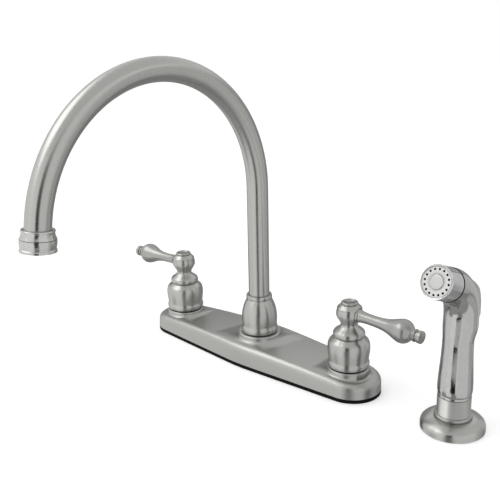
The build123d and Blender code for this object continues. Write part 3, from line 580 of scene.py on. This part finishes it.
def round_points(radius: float, steps: int) -> list[Vector]:
    """Points that go once round a circle about +Z, the last one short of the first."""
    angles = [math.tau * i / steps for i in range(steps)]
    return [Vector((radius * math.cos(a), radius * math.sin(a), 0.0)) for a in angles]


def along_axis(origin: Vector, axis: Vector) -> Matrix:
    """A place on an axis whose +Z runs along it."""
    turn = Vector(axis).to_track_quat("Z", "Y")
    return Matrix.Translation(Vector(origin)) @ turn.to_matrix().to_4x4()


def cut_across(form: bmesh.types.BMesh, point: Vector, facing: Vector) -> None:
    """Put a line of new edges where a form meets the plane through a point."""
    everything = form.verts[:] + form.edges[:] + form.faces[:]
    bmesh.ops.bisect_plane(form, geom=everything, plane_co=point, plane_no=facing, dist=ON_PLANE)


def closed_mesh(name: str, form: bmesh.types.BMesh, crease: float) -> bpy.types.Mesh:
    """Turn a closed form into a smoothly shaded mesh, faces outwards.

    Args:
        name: the mesh's name.
        form: the form, which is used up.
        crease: degrees past which an edge stays sharp.

    Returns:
        The mesh.
    """
    bmesh.ops.recalc_face_normals(form, faces=form.faces)
    mesh = bpy.data.meshes.new(name)
    form.to_mesh(mesh)
    form.free()
    smooth(mesh, crease)
    return mesh


def turned_mesh(name: str, outline: tuple[Pair, ...], steps: int) -> bpy.types.Mesh:
    """Turn an outline into a closed solid.

    Args:
        name: the mesh's name.
        outline: millimetres from the axis and along it of each corner, its two
            ends on the axis.
        steps: how many divisions round.

    Returns:
        The mesh, normals outwards.
    """
    form = bmesh.new()
    rings = []
    for radius, height in outline:
        level = Vector((0.0, 0.0, height * MM))
        spots = round_points(radius * MM, steps if radius > ON_AXIS else 1)
        rings.append([form.verts.new(spot + level) for spot in spots])
    for lower, upper in zip(rings[:-1], rings[1:]):
        for i in range(steps):
            j = (i + 1) % steps
            corners = [ring[k % len(ring)] for ring, k in ((lower, i), (lower, j), (upper, j), (upper, i))]
            form.faces.new(list(dict.fromkeys(corners)))
    return closed_mesh(name, form, SMALL_CREASE)


def round_bead(name: str, loop: list[Vector], radius: float, sides: int = 10) -> bpy.types.Mesh:
    """Lay a round bead along a closed line.

    Args:
        name: the mesh's name.
        loop: the line's points, the last one short of the first.
        radius: the bead's radius.
        sides: how many divisions round the bead.

    Returns:
        The mesh, normals outwards.
    """
    form = bmesh.new()
    middle = sum(loop, Vector()) / len(loop)
    section = round_points(radius, sides)
    rings = []
    for i, point in enumerate(loop):
        run = (loop[(i + 1) % len(loop)] - loop[i - 1]).normalized()
        out = point - middle
        out = (out - run * out.dot(run)).normalized()
        rise = run.cross(out)
        rings.append([form.verts.new(point + out * spot.x + rise * spot.y) for spot in section])
    for i, ring in enumerate(rings):
        following = rings[(i + 1) % len(rings)]
        for k in range(sides):
            n = (k + 1) % sides
            form.faces.new((ring[k], ring[n], following[n], following[k]))
    return closed_mesh(name, form, BEAD_CREASE)


def outline_radius(outline: tuple[Pair, ...], height: float) -> float:
    """Read an outline at one height.

    Args:
        outline: height and radius of each point, in order.
        height: where to read it.

    Returns:
        The radius there.
    """
    if height <= outline[0][0]:
        return outline[0][1]
    for (low, first), (high, second) in zip(outline[:-1], outline[1:]):
        if height <= high:
            return first + (second - first) * (height - low) / (high - low)
    return outline[-1][1]


def flare(mesh: bpy.types.Mesh, place: Matrix, inside: float, outline: tuple[Pair, ...]) -> None:
    """Give a turned piece's outer wall a new outline.

    Args:
        mesh: the piece's mesh.
        place: puts +Z along the piece's axis.
        inside: walls nearer the axis than this stay as they are.
        outline: millimetres along the axis and radius of each point, in order.
    """
    back = place.inverted()
    form = bmesh.new()
    form.from_mesh(mesh)
    for height, _ in outline[1:-1]:
        cut_across(form, place @ (UP * (height * MM)), place.to_3x3() @ UP)
    for vertex in form.verts:
        spot = back @ vertex.co
        now = math.hypot(spot.x, spot.y)
        if now > inside:
            wanted = outline_radius(outline, spot.z / MM) * MM
            vertex.co = place @ Vector((spot.x * wanted / now, spot.y * wanted / now, spot.z))
    form.normal_update()
    form.to_mesh(mesh)
    form.free()


class RingBench:
    """Geometry Nodes that set copies of one small shape round a circle."""

    def __init__(self) -> None:
        """Build the tree once."""
        tree = bpy.data.node_groups.new("ring of copies", "GeometryNodeTree")
        wanted = {
            "Shape": "NodeSocketGeometry",
            "Count": "NodeSocketInt",
            "Radius": "NodeSocketFloat",
            "Material": "NodeSocketMaterial",
        }
        for label, kind in wanted.items():
            tree.interface.new_socket(label, in_out="INPUT", socket_type=kind)
        tree.interface.new_socket("Copies", in_out="OUTPUT", socket_type="NodeSocketGeometry")
        nodes, links = tree.nodes, tree.links
        start, end = nodes.new("NodeGroupInput"), nodes.new("NodeGroupOutput")
        circle = nodes.new("GeometryNodeMeshCircle")
        copies = nodes.new("GeometryNodeInstanceOnPoints")
        whole = nodes.new("GeometryNodeRealizeInstances")
        finish = nodes.new("GeometryNodeSetMaterial")
        links.new(start.outputs["Count"], circle.inputs["Vertices"])
        links.new(start.outputs["Radius"], circle.inputs["Radius"])
        links.new(circle.outputs["Mesh"], copies.inputs["Points"])
        links.new(start.outputs["Shape"], copies.inputs["Instance"])
        links.new(copies.outputs["Instances"], whole.inputs["Geometry"])
        links.new(whole.outputs["Geometry"], finish.inputs["Geometry"])
        links.new(start.outputs["Material"], finish.inputs["Material"])
        links.new(finish.outputs["Geometry"], end.inputs["Copies"])
        self.tree = tree
        items = tree.interface.items_tree
        self.sockets = {item.name: item.identifier for item in items if item.in_out == "INPUT"}

    def ring(
        self,
        name: str,
        shape: bpy.types.Mesh,
        count: int,
        radius: float,
        material: bpy.types.Material,
        place: Matrix,
    ) -> bpy.types.Object:
        """Set copies of a shape round a circle.

        Args:
            name: the new piece's name.
            shape: one copy, its axis along +Z.
            count: how many copies.
            radius: the circle's radius.
            material: their finish.
            place: where the circle's middle lies and which way +Z looks.

        Returns:
            The piece, one plain mesh.
        """
        piece = link(name, shape.copy(), material)
        maker = piece.modifiers.new("ring", "NODES")
        maker.node_group = self.tree
        for label, value in {"Count": count, "Radius": radius, "Material": material}.items():
            maker[self.sockets[label]] = value
        graph = bpy.context.evaluated_depsgraph_get()
        mesh = bpy.data.meshes.new_from_object(piece.evaluated_get(graph), depsgraph=graph)
        piece.modifiers.remove(maker)
        mesh.transform(place)
        piece.data = mesh
        return piece


class Workshop:
    def __init__(self, frame: dict) -> None:
        """Keep the frame and make each finish once.
        """
        record = frame["record"]
        bodies = record["behaviour"]["bodies"]
        self.nodes = frame["nodes"]
        self.body_of = {node: body for body, names in bodies.items() for node in names}
        self.slot_of = {part["node"]: part["material_slot"] for part in record["subparts"]}
        kit = ShaderKit()
        self.materials = {finish: finish.value.build(kit) for finish in Finish}
        self.bench = RingBench()
        self.count = 0

    def dress(self, node: str, finish: Finish, lay: Lay | None = None) -> bpy.types.Object:
        """Stand a smoothly shaded copy in for a CAD node.

        Args:
            node: the CAD node's name.
            finish: what it is finished in.
            lay: how its brush lines run, where it has any.

        Returns:
            The new piece.
        """
        mesh = self.nodes[node].data.copy()
        form = bmesh.new()
        form.from_mesh(mesh)
        bmesh.ops.remove_doubles(form, verts=form.verts, dist=MERGE)
        form.to_mesh(mesh)
        form.free()
        smooth(mesh)
        if lay:
            lay_brush_map(mesh, lay)
        piece = link(f"{node}_dressed", mesh, self.materials[finish])
        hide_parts(node)
        return self.report(piece, self.body_of[node])

    def add(self, piece: bpy.types.Object, node: str, like: str) -> bpy.types.Object:
        """Add a fine piece that a CAD node carries."""
        return self.report(piece, self.body_of[node])

    def report(self, piece: bpy.types.Object, body: str) -> bpy.types.Object:
        """Ride a piece on its body and log it.

        Args:
            piece: the piece.
            body: the CAD body it moves with.

        Returns:
            The same piece.
        """
        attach(piece, body)
        self.count += 1
        LOG.info("%s rides on %s", piece.name, body)
        return piece


# ---- Sub-assemblies ----


@dataclass
class DeckPlate:
    """The long plate, its gasket, what clamps it to the deck, and the centre body."""

    shop: Workshop
    pitch: float = 101.6 * MM
    handle_boss: float = 18.6 * MM
    handle_foot: float = 17.6 * MM
    spout_boss: float = 20.7 * MM
    spout_foot: float = 20.7 * MM
    spring_seat: float = 14.0 * MM
    spring_left: float = 0.51

    def build(self) -> None:
        """Dress the plate and the pieces under it."""
        bosses = (
            (-self.pitch, self.handle_boss, self.handle_foot),
            (0.0, self.spout_boss, self.spout_foot),
            (self.pitch, self.handle_boss, self.handle_foot),
        )
        self.shop.dress("deck_plate", Finish.NICKEL_PLATE_SHADED, Bossed(bosses))
        self.shop.dress("deck_gasket", Finish.RUBBER)
        self.shop.dress("lock_nuts", Finish.BLACK)
        self.shop.dress("shank_washers", Finish.STEEL)
        for node in ("centre_body", "spray_outlet", "diverter_guide", "diverter_plunger"):
            self.shop.dress(node, Finish.BRASS, Turned((0.0, 0.0, 0.0)))
        spring = self.shop.dress("diverter_spring", Finish.STEEL)
        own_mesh(spring)


@dataclass
class Handle:
    """One handle: valve, bonnet, hub, lever and index button."""

    shop: Workshop
    side: str
    x: float
    droop: float = 2.1
    axis_height: float = 70.06 * MM
    waterway_height: float = 11.0 * MM
    hub_radius: float = 11.18 * MM
    neck_radius: float = 5.2 * MM
    # Size and divisions of the black bead, painted shade in the crease at the lever's root.
    shade_line_radius: float = 0.27 * MM
    shade_line_steps: int = 48

    def build(self) -> None:
        """Dress every piece of the handle and its valve."""
        upright = Turned((self.x, 0.0, 0.0))
        towards = math.copysign(1.0, self.x)
        droop = math.radians(self.droop)
        along = Turned((self.x, 0.0, self.axis_height), (towards * math.cos(droop), 0.0, -math.sin(droop)))
        level = Turned((0.0, 0.0, self.waterway_height), (1.0, 0.0, 0.0))
        finishes = {
            "valve_body": (Finish.BRASS, upright),
            "waterway": (Finish.BRASS, level),
            "stem": (Finish.BRASS, upright),
            "cartridge": (Finish.BLACK, None),
            "fixed_disc": (Finish.CERAMIC, None),
            "moving_disc": (Finish.CERAMIC, None),
            "bonnet_seal": (Finish.RUBBER, None),
            "bonnet": (Finish.NICKEL, upright),
            "hub": (Finish.NICKEL, upright),
            "lever": (Finish.NICKEL_LEVER_SHADED, along),
            "index_button": (Finish.NICKEL_LEVER_SHADED, upright),
            "handle_screw": (Finish.STEEL, None),
        }
        for node, (finish, lay) in finishes.items():
            self.shop.dress(f"{self.side}_{node}", finish, lay)
        self._root_shade_line(along_axis(along.point, along.direction))

    def _root_shade_line(self, place: Matrix) -> None:
        """A thin black bead where the lever's neck leaves the round hub: painted shade in the crease there.

        Args:
            place: puts +Z along the lever, from the hub's axis.
        """
        loop = []
        for spot in round_points(self.neck_radius, self.shade_line_steps):
            out = math.sqrt(self.hub_radius * self.hub_radius - spot.y * spot.y)
            loop.append(place @ Vector((spot.x, spot.y, out)))
        bead = round_bead("lever shade line", loop, self.shade_line_radius)
        shade_bead = link(f"{self.side}_lever_shade_line", bead, self.shop.materials[Finish.RUBBER])
        self.shop.add(shade_bead, f"{self.side}_lever", like=f"{self.side}_bonnet_seal")


@dataclass
class Spout:
    """The swivelling gooseneck with its nut, collar and aerator.

    The swell and the barrel are the outlines of the collar and of the aerator
    housing: millimetres past the tube's end, and radius.
    """

    shop: Workshop
    spring: float = 160.9 * MM
    radius: float = 110.7 * MM
    sweep: float = 174.0
    collar_bore: float = 11.0 * MM
    housing_bore: float = 11.9 * MM
    swell: tuple[Pair, ...] = (
        (-1.6, 11.5), (-1.0, 11.9), (-0.3, 11.75), (0.3, 11.5),
        (1.5, 11.62), (3.0, 12.05), (4.2, 12.6), (4.85, 12.88),
    )
    barrel: tuple[Pair, ...] = (
        (5.0, 12.88), (6.5, 12.98), (8.0, 12.96), (9.5, 12.8),
        (11.0, 12.45), (11.6, 12.35), (12.1, 12.9), (13.8, 13.0),
    )
    screen_depth: float = 11.73 * MM
    # The outline of one black disc of painted shade for an opening, its divisions, and how many lie on each
    # ring at what radius.
    opening: tuple[Pair, ...] = ((0.0, -0.3), (0.5, -0.3), (0.5, 0.0), (0.0, 0.0))
    opening_steps: int = 10
    opening_rings: tuple[tuple[int, float], ...] = ((6, 1.7), (13, 3.7), (20, 5.7), (27, 7.7))

    def build(self) -> None:
        """Dress the spout's pieces."""
        turn = math.radians(self.sweep)
        end = (0.0, self.radius * (math.cos(turn) - 1.0), self.spring + self.radius * math.sin(turn))
        outlet = Turned(end, (0.0, -math.sin(turn), math.cos(turn)))
        upright = Turned((0.0, 0.0, 0.0))
        self.shop.dress("gooseneck", Finish.NICKEL, Bent(self.spring, self.radius))
        self.shop.dress("spout_nut", Finish.NICKEL, upright)
        self.shop.dress("spout_nut_seal", Finish.RUBBER)
        self.shop.dress("spout_bushing", Finish.BRASS, upright)
        self.shop.dress("spout_o_rings", Finish.RUBBER)
        self.shop.dress("split_ring", Finish.WHITE)
        collar = self.shop.dress("spout_collar", Finish.NICKEL_OUTLET_LIT, outlet)
        housing = self.shop.dress("aerator_housing", Finish.NICKEL_OUTLET_LIT, outlet)
        place = along_axis(Vector(end), Vector(outlet.direction))
        flare(collar.data, place, self.collar_bore, self.swell)
        flare(housing.data, place, self.housing_bore, self.barrel)
        self.shop.dress("aerator_screen", Finish.WHITE)
        self.shop.dress("aerator_washer", Finish.RUBBER)
        self._perforation_shade(Vector(end), Vector(outlet.direction))

    def _perforation_shade(self, end: Vector, axis: Vector) -> None:
        """Rings of black discs in the aerator's screen: painted shade for the dark inside each opening.

        Args:
            end: the end of the tube's centre line.
            axis: which way the water leaves.
        """
        shape = turned_mesh("screen opening shade", self.opening, self.opening_steps)
        place = along_axis(end + axis * self.screen_depth, axis)
        # Black plastic discs: painted shade for the dark inside each opening.
        black = self.shop.materials[Finish.BLACK]
        for count, radius in self.opening_rings:
            name = f"screen_opening_shade_{count}"
            ring = self.shop.bench.ring(name, shape, count, radius * MM, black, place)
            self.shop.add(ring, "aerator_screen", like="aerator_washer")


@dataclass
class Trigger:
    """How the trigger's upper end runs out on the wand's round, bent neck.

    The neck bends about a line along X through the bend's middle. The run-out
    starts and ends at two angles round it, in degrees, and is cut at these
    millimetres either side of the middle, so that it bends smoothly.
    """

    bend: Vector
    middle: float = 30.0 * MM
    skin: float = 13.15 * MM
    first: float = 20.0
    last: float = 42.0
    steps: int = 8
    cuts: tuple[float, ...] = (-5.0, -3.4, -1.7, 0.0, 1.7, 3.4, 5.0)
    sunk: float = 0.95
    ease: float = 1.5

    def settle(self, mesh: bpy.types.Mesh) -> None:
        """Let the upper end run out flush on the round neck.

        Args:
            mesh: the trigger's mesh.
        """
        form = bmesh.new()
        form.from_mesh(mesh)
        for step in range(self.steps):
            a = math.radians(self.first + (self.last - self.first) * step / self.steps)
            cut_across(form, self.bend, Vector((0.0, -math.sin(a), math.cos(a))))
        for side in self.cuts:
            cut_across(form, self.bend + Vector((side * MM, 0.0, 0.0)), Vector((1.0, 0.0, 0.0)))
        for vertex in form.verts:
            vertex.co = self._settled(vertex.co)
        form.to_mesh(mesh)
        form.free()
        smooth(mesh)

    def _settled(self, point: Vector) -> Vector:
        """Where one point of the trigger goes.

        Args:
            point: the point.

        Returns:
            Its new place, nearer the neck's skin the further up it is.
        """
        away = point - self.bend
        angle = math.degrees(math.atan2(away.z, away.y))
        share = (angle - self.first) / (self.last - self.first)
        core = self.bend + Vector((0.0, away.y, away.z)).normalized() * self.middle
        arm = point - core
        if share <= 0.0 or arm.length <= self.skin:
            return point.copy()
        keep = 1.0 - self.sunk * min(1.0, share) ** self.ease
        return core + arm.normalized() * (self.skin + (arm.length - self.skin) * keep)


@dataclass
class SideSpray:
    """The holder on the deck and the wand that lifts out of it.

    The tip is the outline of one rubber nozzle: millimetres from its axis and
    in front of the spray face.
    """

    shop: Workshop
    x: float = 199.7 * MM
    y: float = 2.6 * MM
    reach: float = 37.2 * MM
    face_height: float = 130.4 * MM
    face_tilt: float = 22.0
    bend_reach: float = 27.8 * MM
    bend_height: float = 94.25 * MM
    spring_seat: Pair = (13.15 * MM, 92.7 * MM)
    spring_left: float = 0.62
    tip: tuple[Pair, ...] = (
        (0.0, -0.5), (0.42, -0.5), (0.5, 0.05), (0.78, 0.07),
        (0.92, -0.02), (0.92, -0.3), (0.55, -0.9), (0.0, -0.9),
    )
    tip_steps: int = 16
    tip_count: int = 16
    tip_ring: float = 9.3 * MM
    # Where the black bead of painted shade lies on the seam between shell and neck, its size and its
    # divisions.
    seam_depth: float = 17.22 * MM
    seam_ring: float = 12.74 * MM
    seam_radius: float = 0.26 * MM
    seam_steps: int = 72

    def build(self) -> None:
        """Dress the holder, the wand and its trigger."""
        upright = Turned((self.x, self.y, 0.0))
        finishes = {
            "holder_flange": (Finish.NICKEL, upright),
            "holder_sleeve": (Finish.NICKEL_LEVER_SHADED, upright),
            "holder_gasket": (Finish.RUBBER, None),
            "holder_washer": (Finish.BLACK, None),
            "holder_nut": (Finish.BLACK, None),
            "base_ring": (Finish.NICKEL_WAND, None),
            "wand_body": (Finish.NICKEL_WAND, None),
            "wand_tail": (Finish.BLACK, None),
            "head_shell": (Finish.NICKEL_SHELL, None),
            "spray_face": (Finish.WHITE, None),
            "face_button": (Finish.PEARL, None),
            "trigger_pin": (Finish.STEEL, None),
            "valve_plunger": (Finish.STEEL, None),
        }
        for node, (finish, lay) in finishes.items():
            self.shop.dress(node, finish, lay)
        bend = Vector((self.x, self.y - self.bend_reach, self.bend_height))
        Trigger(bend).settle(self.shop.dress("trigger_lever", Finish.NICKEL_WAND).data)
        spring = self.shop.dress("trigger_spring", Finish.STEEL)
        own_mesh(spring)
        self._nozzles()
        self._shell_seam_shade()

    def _head_place(self, ahead: float = 0.0) -> Matrix:
        """A place on the head's axis, +Z the way the spray face looks.

        Args:
            ahead: metres in front of the spray face.

        Returns:
            The matrix of the place.
        """
        tilt = math.radians(self.face_tilt)
        facing = Vector((0.0, -math.cos(tilt), math.sin(tilt)))
        middle = Vector((self.x, self.y - self.reach, self.face_height))
        return along_axis(middle + facing * ahead, facing)

    def _nozzles(self) -> None:
        """A black rubber tip in each hole of the spray face."""
        shape = turned_mesh("spray nozzle tip", self.tip, self.tip_steps)
        rubber = self.shop.materials[Finish.RUBBER]
        place = self._head_place()
        tips = self.shop.bench.ring("spray_nozzle_tips", shape, self.tip_count, self.tip_ring, rubber, place)
        self.shop.add(tips, "spray_face", like="holder_gasket")

    def _shell_seam_shade(self) -> None:
        """A thin black bead on the seam between the head's shell and the wand's neck: painted shade in the
        narrow gap.
        """
        place = self._head_place(-self.seam_depth)
        loop = [place @ spot for spot in round_points(self.seam_ring, self.seam_steps)]
        bead = round_bead("shell_seam_shade", loop, self.seam_radius)
        seam_shade = link("shell_seam_shade", bead, self.shop.materials[Finish.RUBBER])
        self.shop.add(seam_shade, "head_shell", like="holder_gasket")


# ---- Studio ----


@dataclass(frozen=True)
class WallCard:
    """A bent wall round the faucet that only reflections see.

    Its middle and its width are degrees of the studio's dome, the middle counted
    from the camera. Its lower and upper edge and its distance are metres. It bends
    once every step of so many degrees.
    """

    name: str
    azimuth: float
    width: float
    low: float
    high: float
    distance: float
    grey: float
    step: float = 6.0

    def mesh(self, studio: "Studio") -> bpy.types.Mesh:
        """Make the wall.

        Args:
            studio: where the card stands.

        Returns:
            Its mesh.
        """
        steps = max(2, int(self.width / self.step))
        corners = []
        for height in (self.low, self.high):
            for i in range(steps + 1):
                turn = studio.azimuth + self.azimuth - self.width / 2 + self.width * i / steps
                foot = Vector((studio.centre.x, 0.0, height))
                corners.append(tuple(foot + studio.direction(turn, 0) * self.distance))
        faces = [(i, i + 1, steps + 2 + i, steps + 1 + i) for i in range(steps)]
        mesh = bpy.data.meshes.new(self.name)
        mesh.from_pydata(corners, [], faces)
        return mesh


@dataclass(frozen=True)
class LevelCard:
    """A level card over or under the faucet that only reflections see."""

    name: str
    height: float
    half: float
    grey: float

    def mesh(self, studio: "Studio") -> bpy.types.Mesh:
        """Make the sheet over or under the studio's middle."""
        return level_square(self.name, self.half, (studio.centre.x, studio.centre.y, self.height))


def level_square(name: str, half: float, middle: Triple) -> bpy.types.Mesh:
    """One level square.

    Args:
        name: the mesh's name.
        half: half its side.
        middle: where its middle lies.

    Returns:
        The mesh, facing up.
    """
    x, y, z = middle
    offsets = ((-half, -half), (half, -half), (half, half), (-half, half))
    corners = [(x + across, y + along, z) for across, along in offsets]
    mesh = bpy.data.meshes.new(name)
    mesh.from_pydata(corners, [], [(0, 1, 2, 3)])
    return mesh


CARDS = (
    LevelCard("ceiling", 1.9, 2.2, 0.75),
    LevelCard("under_deck", -1.6, 2.2, 0.42),
    WallCard("rear_wall", 180, 74, -2.0, 0.8, 1.6, 0.34),
    WallCard("rear_left", -126, 34, -2.0, 0.8, 1.6, 0.9),
    WallCard("rear_right", 120, 44, -2.0, 0.8, 1.6, 0.34),
    WallCard("right_side", 84, 28, -2.0, 0.8, 1.6, 0.62),
    WallCard("front_left", -45, 50, -2.0, 0.8, 1.6, 1.08),
    WallCard("front_right", 35, 70, -2.0, 0.8, 1.6, 0.9),
    WallCard("right_near", 105, 30, -0.1, 0.4, 0.45, 0.7),
    WallCard("camera_gap", -13, 22, -0.085, 0.5, 0.66, 0.03),
    WallCard("camera_neck", -16, 30, -0.159, -0.085, 0.64, 0.72),
    WallCard("camera_body", -17, 30, -0.265, -0.159, 0.63, 0.0),
    WallCard("camera_stand", -14, 24, -0.9, -0.265, 0.66, 0.34),
)


@dataclass
class Studio:
    """White deck and surround, one soft lamp, the cards and the camera.

    Angles are in degrees: an azimuth counts from the front of the faucet towards
    its right, and an elevation from the deck. The lamp's azimuth counts from the
    camera's.
    """

    centre: Vector = Vector((0.06, -0.06, 0.1))
    azimuth: float = 43.324
    elevation: float = 18.084
    roll: float = -1.179
    lens: float = 56.654
    eye: Vector = Vector((0.456881, -0.495542, 0.323737))
    ambient: float = 0.72
    floor_lift: float = 0.37
    floor_half: float = 12.0
    floor_height: float = -0.4 * MM
    floor_white: float = 0.9
    floor_roughness: float = 0.8
    lamp_azimuth: float = -92.0
    lamp_elevation: float = 50.0
    lamp_distance: float = 1.5
    lamp_size: Pair = (1.3, 0.9)
    lamp_brightness: float = 1.6

    def build(self) -> None:
        """Set the world, the floor, the lamp, the cards and the camera."""
        self._world()
        self._floor()
        self._lamp("left_box")
        for card in CARDS:
            self._show_only_in_metal(card.name, card.mesh(self), card.grey)
        self._camera()
        bpy.context.scene.view_settings.view_transform = "Standard"

    @staticmethod
    def direction(azimuth: float, height: float) -> Vector:
        """Unit vector from the faucet towards a place on the studio's dome."""
        a, h = math.radians(azimuth), math.radians(height)
        return Vector((math.sin(a) * math.cos(h), -math.cos(a) * math.cos(h), math.sin(h)))

    def _world(self) -> None:
        """A plain white surround, a little dimmer as a lamp than as a picture."""
        world = bpy.data.worlds.new("white surround")
        bpy.context.scene.world = world
        world.use_nodes = True
        tree = world.node_tree
        background = tree.nodes["Background"]
        background.inputs["Color"].default_value = (1.0, 1.0, 1.0, 1.0)
        strength = spread_out(tree, self._seen(tree), wanted=(self.ambient, 1.0))
        tree.links.new(strength, background.inputs["Strength"])

    @staticmethod
    def _seen(tree: bpy.types.NodeTree) -> bpy.types.NodeSocket:
        """Tell rays that picture the backdrop from those that light the faucet.

        Args:
            tree: the node tree.

        Returns:
            A socket that is 1 for camera, glossy and transmission rays.
        """
        path = tree.nodes.new("ShaderNodeLightPath").outputs
        shown = work_out(tree, "MAXIMUM", path["Is Camera Ray"], path["Is Glossy Ray"])
        return work_out(tree, "MAXIMUM", shown, path["Is Transmission Ray"])

    def _floor(self) -> None:
        """The white deck that the faucet stands on, just under its gasket."""
        mesh = level_square("white deck", self.floor_half, (0.0, 0.0, self.floor_height))
        material = bpy.data.materials.new("white deck")
        material.use_nodes = True
        tree = material.node_tree
        shader = tree.nodes["Principled BSDF"]
        white = self.floor_white
        shader.inputs["Base Color"].default_value = (white, white, white, 1.0)
        shader.inputs["Roughness"].default_value = self.floor_roughness
        shader.inputs["Specular IOR Level"].default_value = 0.0
        shader.inputs["Emission Color"].default_value = (1.0, 1.0, 1.0, 1.0)
        lift = work_out(tree, "MULTIPLY", self._seen(tree), self.floor_lift)
        tree.links.new(lift, shader.inputs["Emission Strength"])
        floor = link("white_deck", mesh, material)
        floor.visible_glossy = False

    def _lamp(self, name: str) -> None:
        """Hang the soft lamp, high on the left, facing the faucet.

        Args:
            name: the lamp's name.
        """
        width, height = self.lamp_size
        data = bpy.data.lights.new(name, "AREA")
        data.shape = "RECTANGLE"
        data.size, data.size_y = width, height
        data.energy = self.lamp_brightness * math.pi * width * height
        lamp = bpy.data.objects.new(name, data)
        away = self.direction(self.azimuth + self.lamp_azimuth, self.lamp_elevation)
        lamp.location = self.centre + away * self.lamp_distance
        lamp.rotation_euler = away.to_track_quat("Z", "Y").to_euler()
        bpy.context.scene.collection.objects.link(lamp)

    @staticmethod
    def _show_only_in_metal(name: str, mesh: bpy.types.Mesh, grey: float) -> None:
        """Give a card its plain glow and hide it from all but reflections.

        Args:
            name: the card's name.
            mesh: its mesh.
            grey: how bright it is.
        """
        material = bpy.data.materials.new(name)
        material.use_nodes = True
        nodes, links = material.node_tree.nodes, material.node_tree.links
        nodes.remove(nodes["Principled BSDF"])
        glow = nodes.new("ShaderNodeEmission")
        glow.inputs["Color"].default_value = (grey, grey, grey, 1.0)
        links.new(glow.outputs["Emission"], nodes["Material Output"].inputs["Surface"])
        card = link(name, mesh, material)
        card.visible_camera = False
        card.visible_diffuse = False
        card.visible_shadow = False
        card.visible_transmission = False

    def _camera(self) -> None:
        """The camera of the photograph: a slightly long lens, turned a little."""
        data = bpy.data.cameras.new("camera")
        data.lens = self.lens
        data.sensor_width = 36.0
        data.clip_start = 0.01
        data.clip_end = 100.0
        camera = bpy.data.objects.new("camera", data)
        back = self.direction(self.azimuth, self.elevation)
        a = math.radians(self.azimuth)
        right = Vector((math.cos(a), math.sin(a), 0.0))
        rise = back.cross(right)
        r = math.radians(self.roll)
        turned_right = right * math.cos(r) + rise * math.sin(r)
        turned_rise = rise * math.cos(r) - right * math.sin(r)
        basis = Matrix((turned_right, turned_rise, back)).transposed()
        camera.matrix_world = Matrix.Translation(self.eye) @ basis.to_4x4()
        bpy.context.scene.collection.objects.link(camera)
        bpy.context.scene.camera = camera


def main() -> None:
    """Build the faucet around the frame, then its studio."""
    logging.basicConfig(level=logging.INFO, format="%(name)s: %(message)s")
    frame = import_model()
    shop = Workshop(frame)
    plate = DeckPlate(shop)
    plate.build()
    for side, x in (("hot", -plate.pitch), ("cold", plate.pitch)):
        Handle(shop, side, x).build()
    Spout(shop).build()
    SideSpray(shop).build()
    Studio().build()
    LOG.info("%d pieces built", shop.count)


if __name__ == "__main__":
    main()
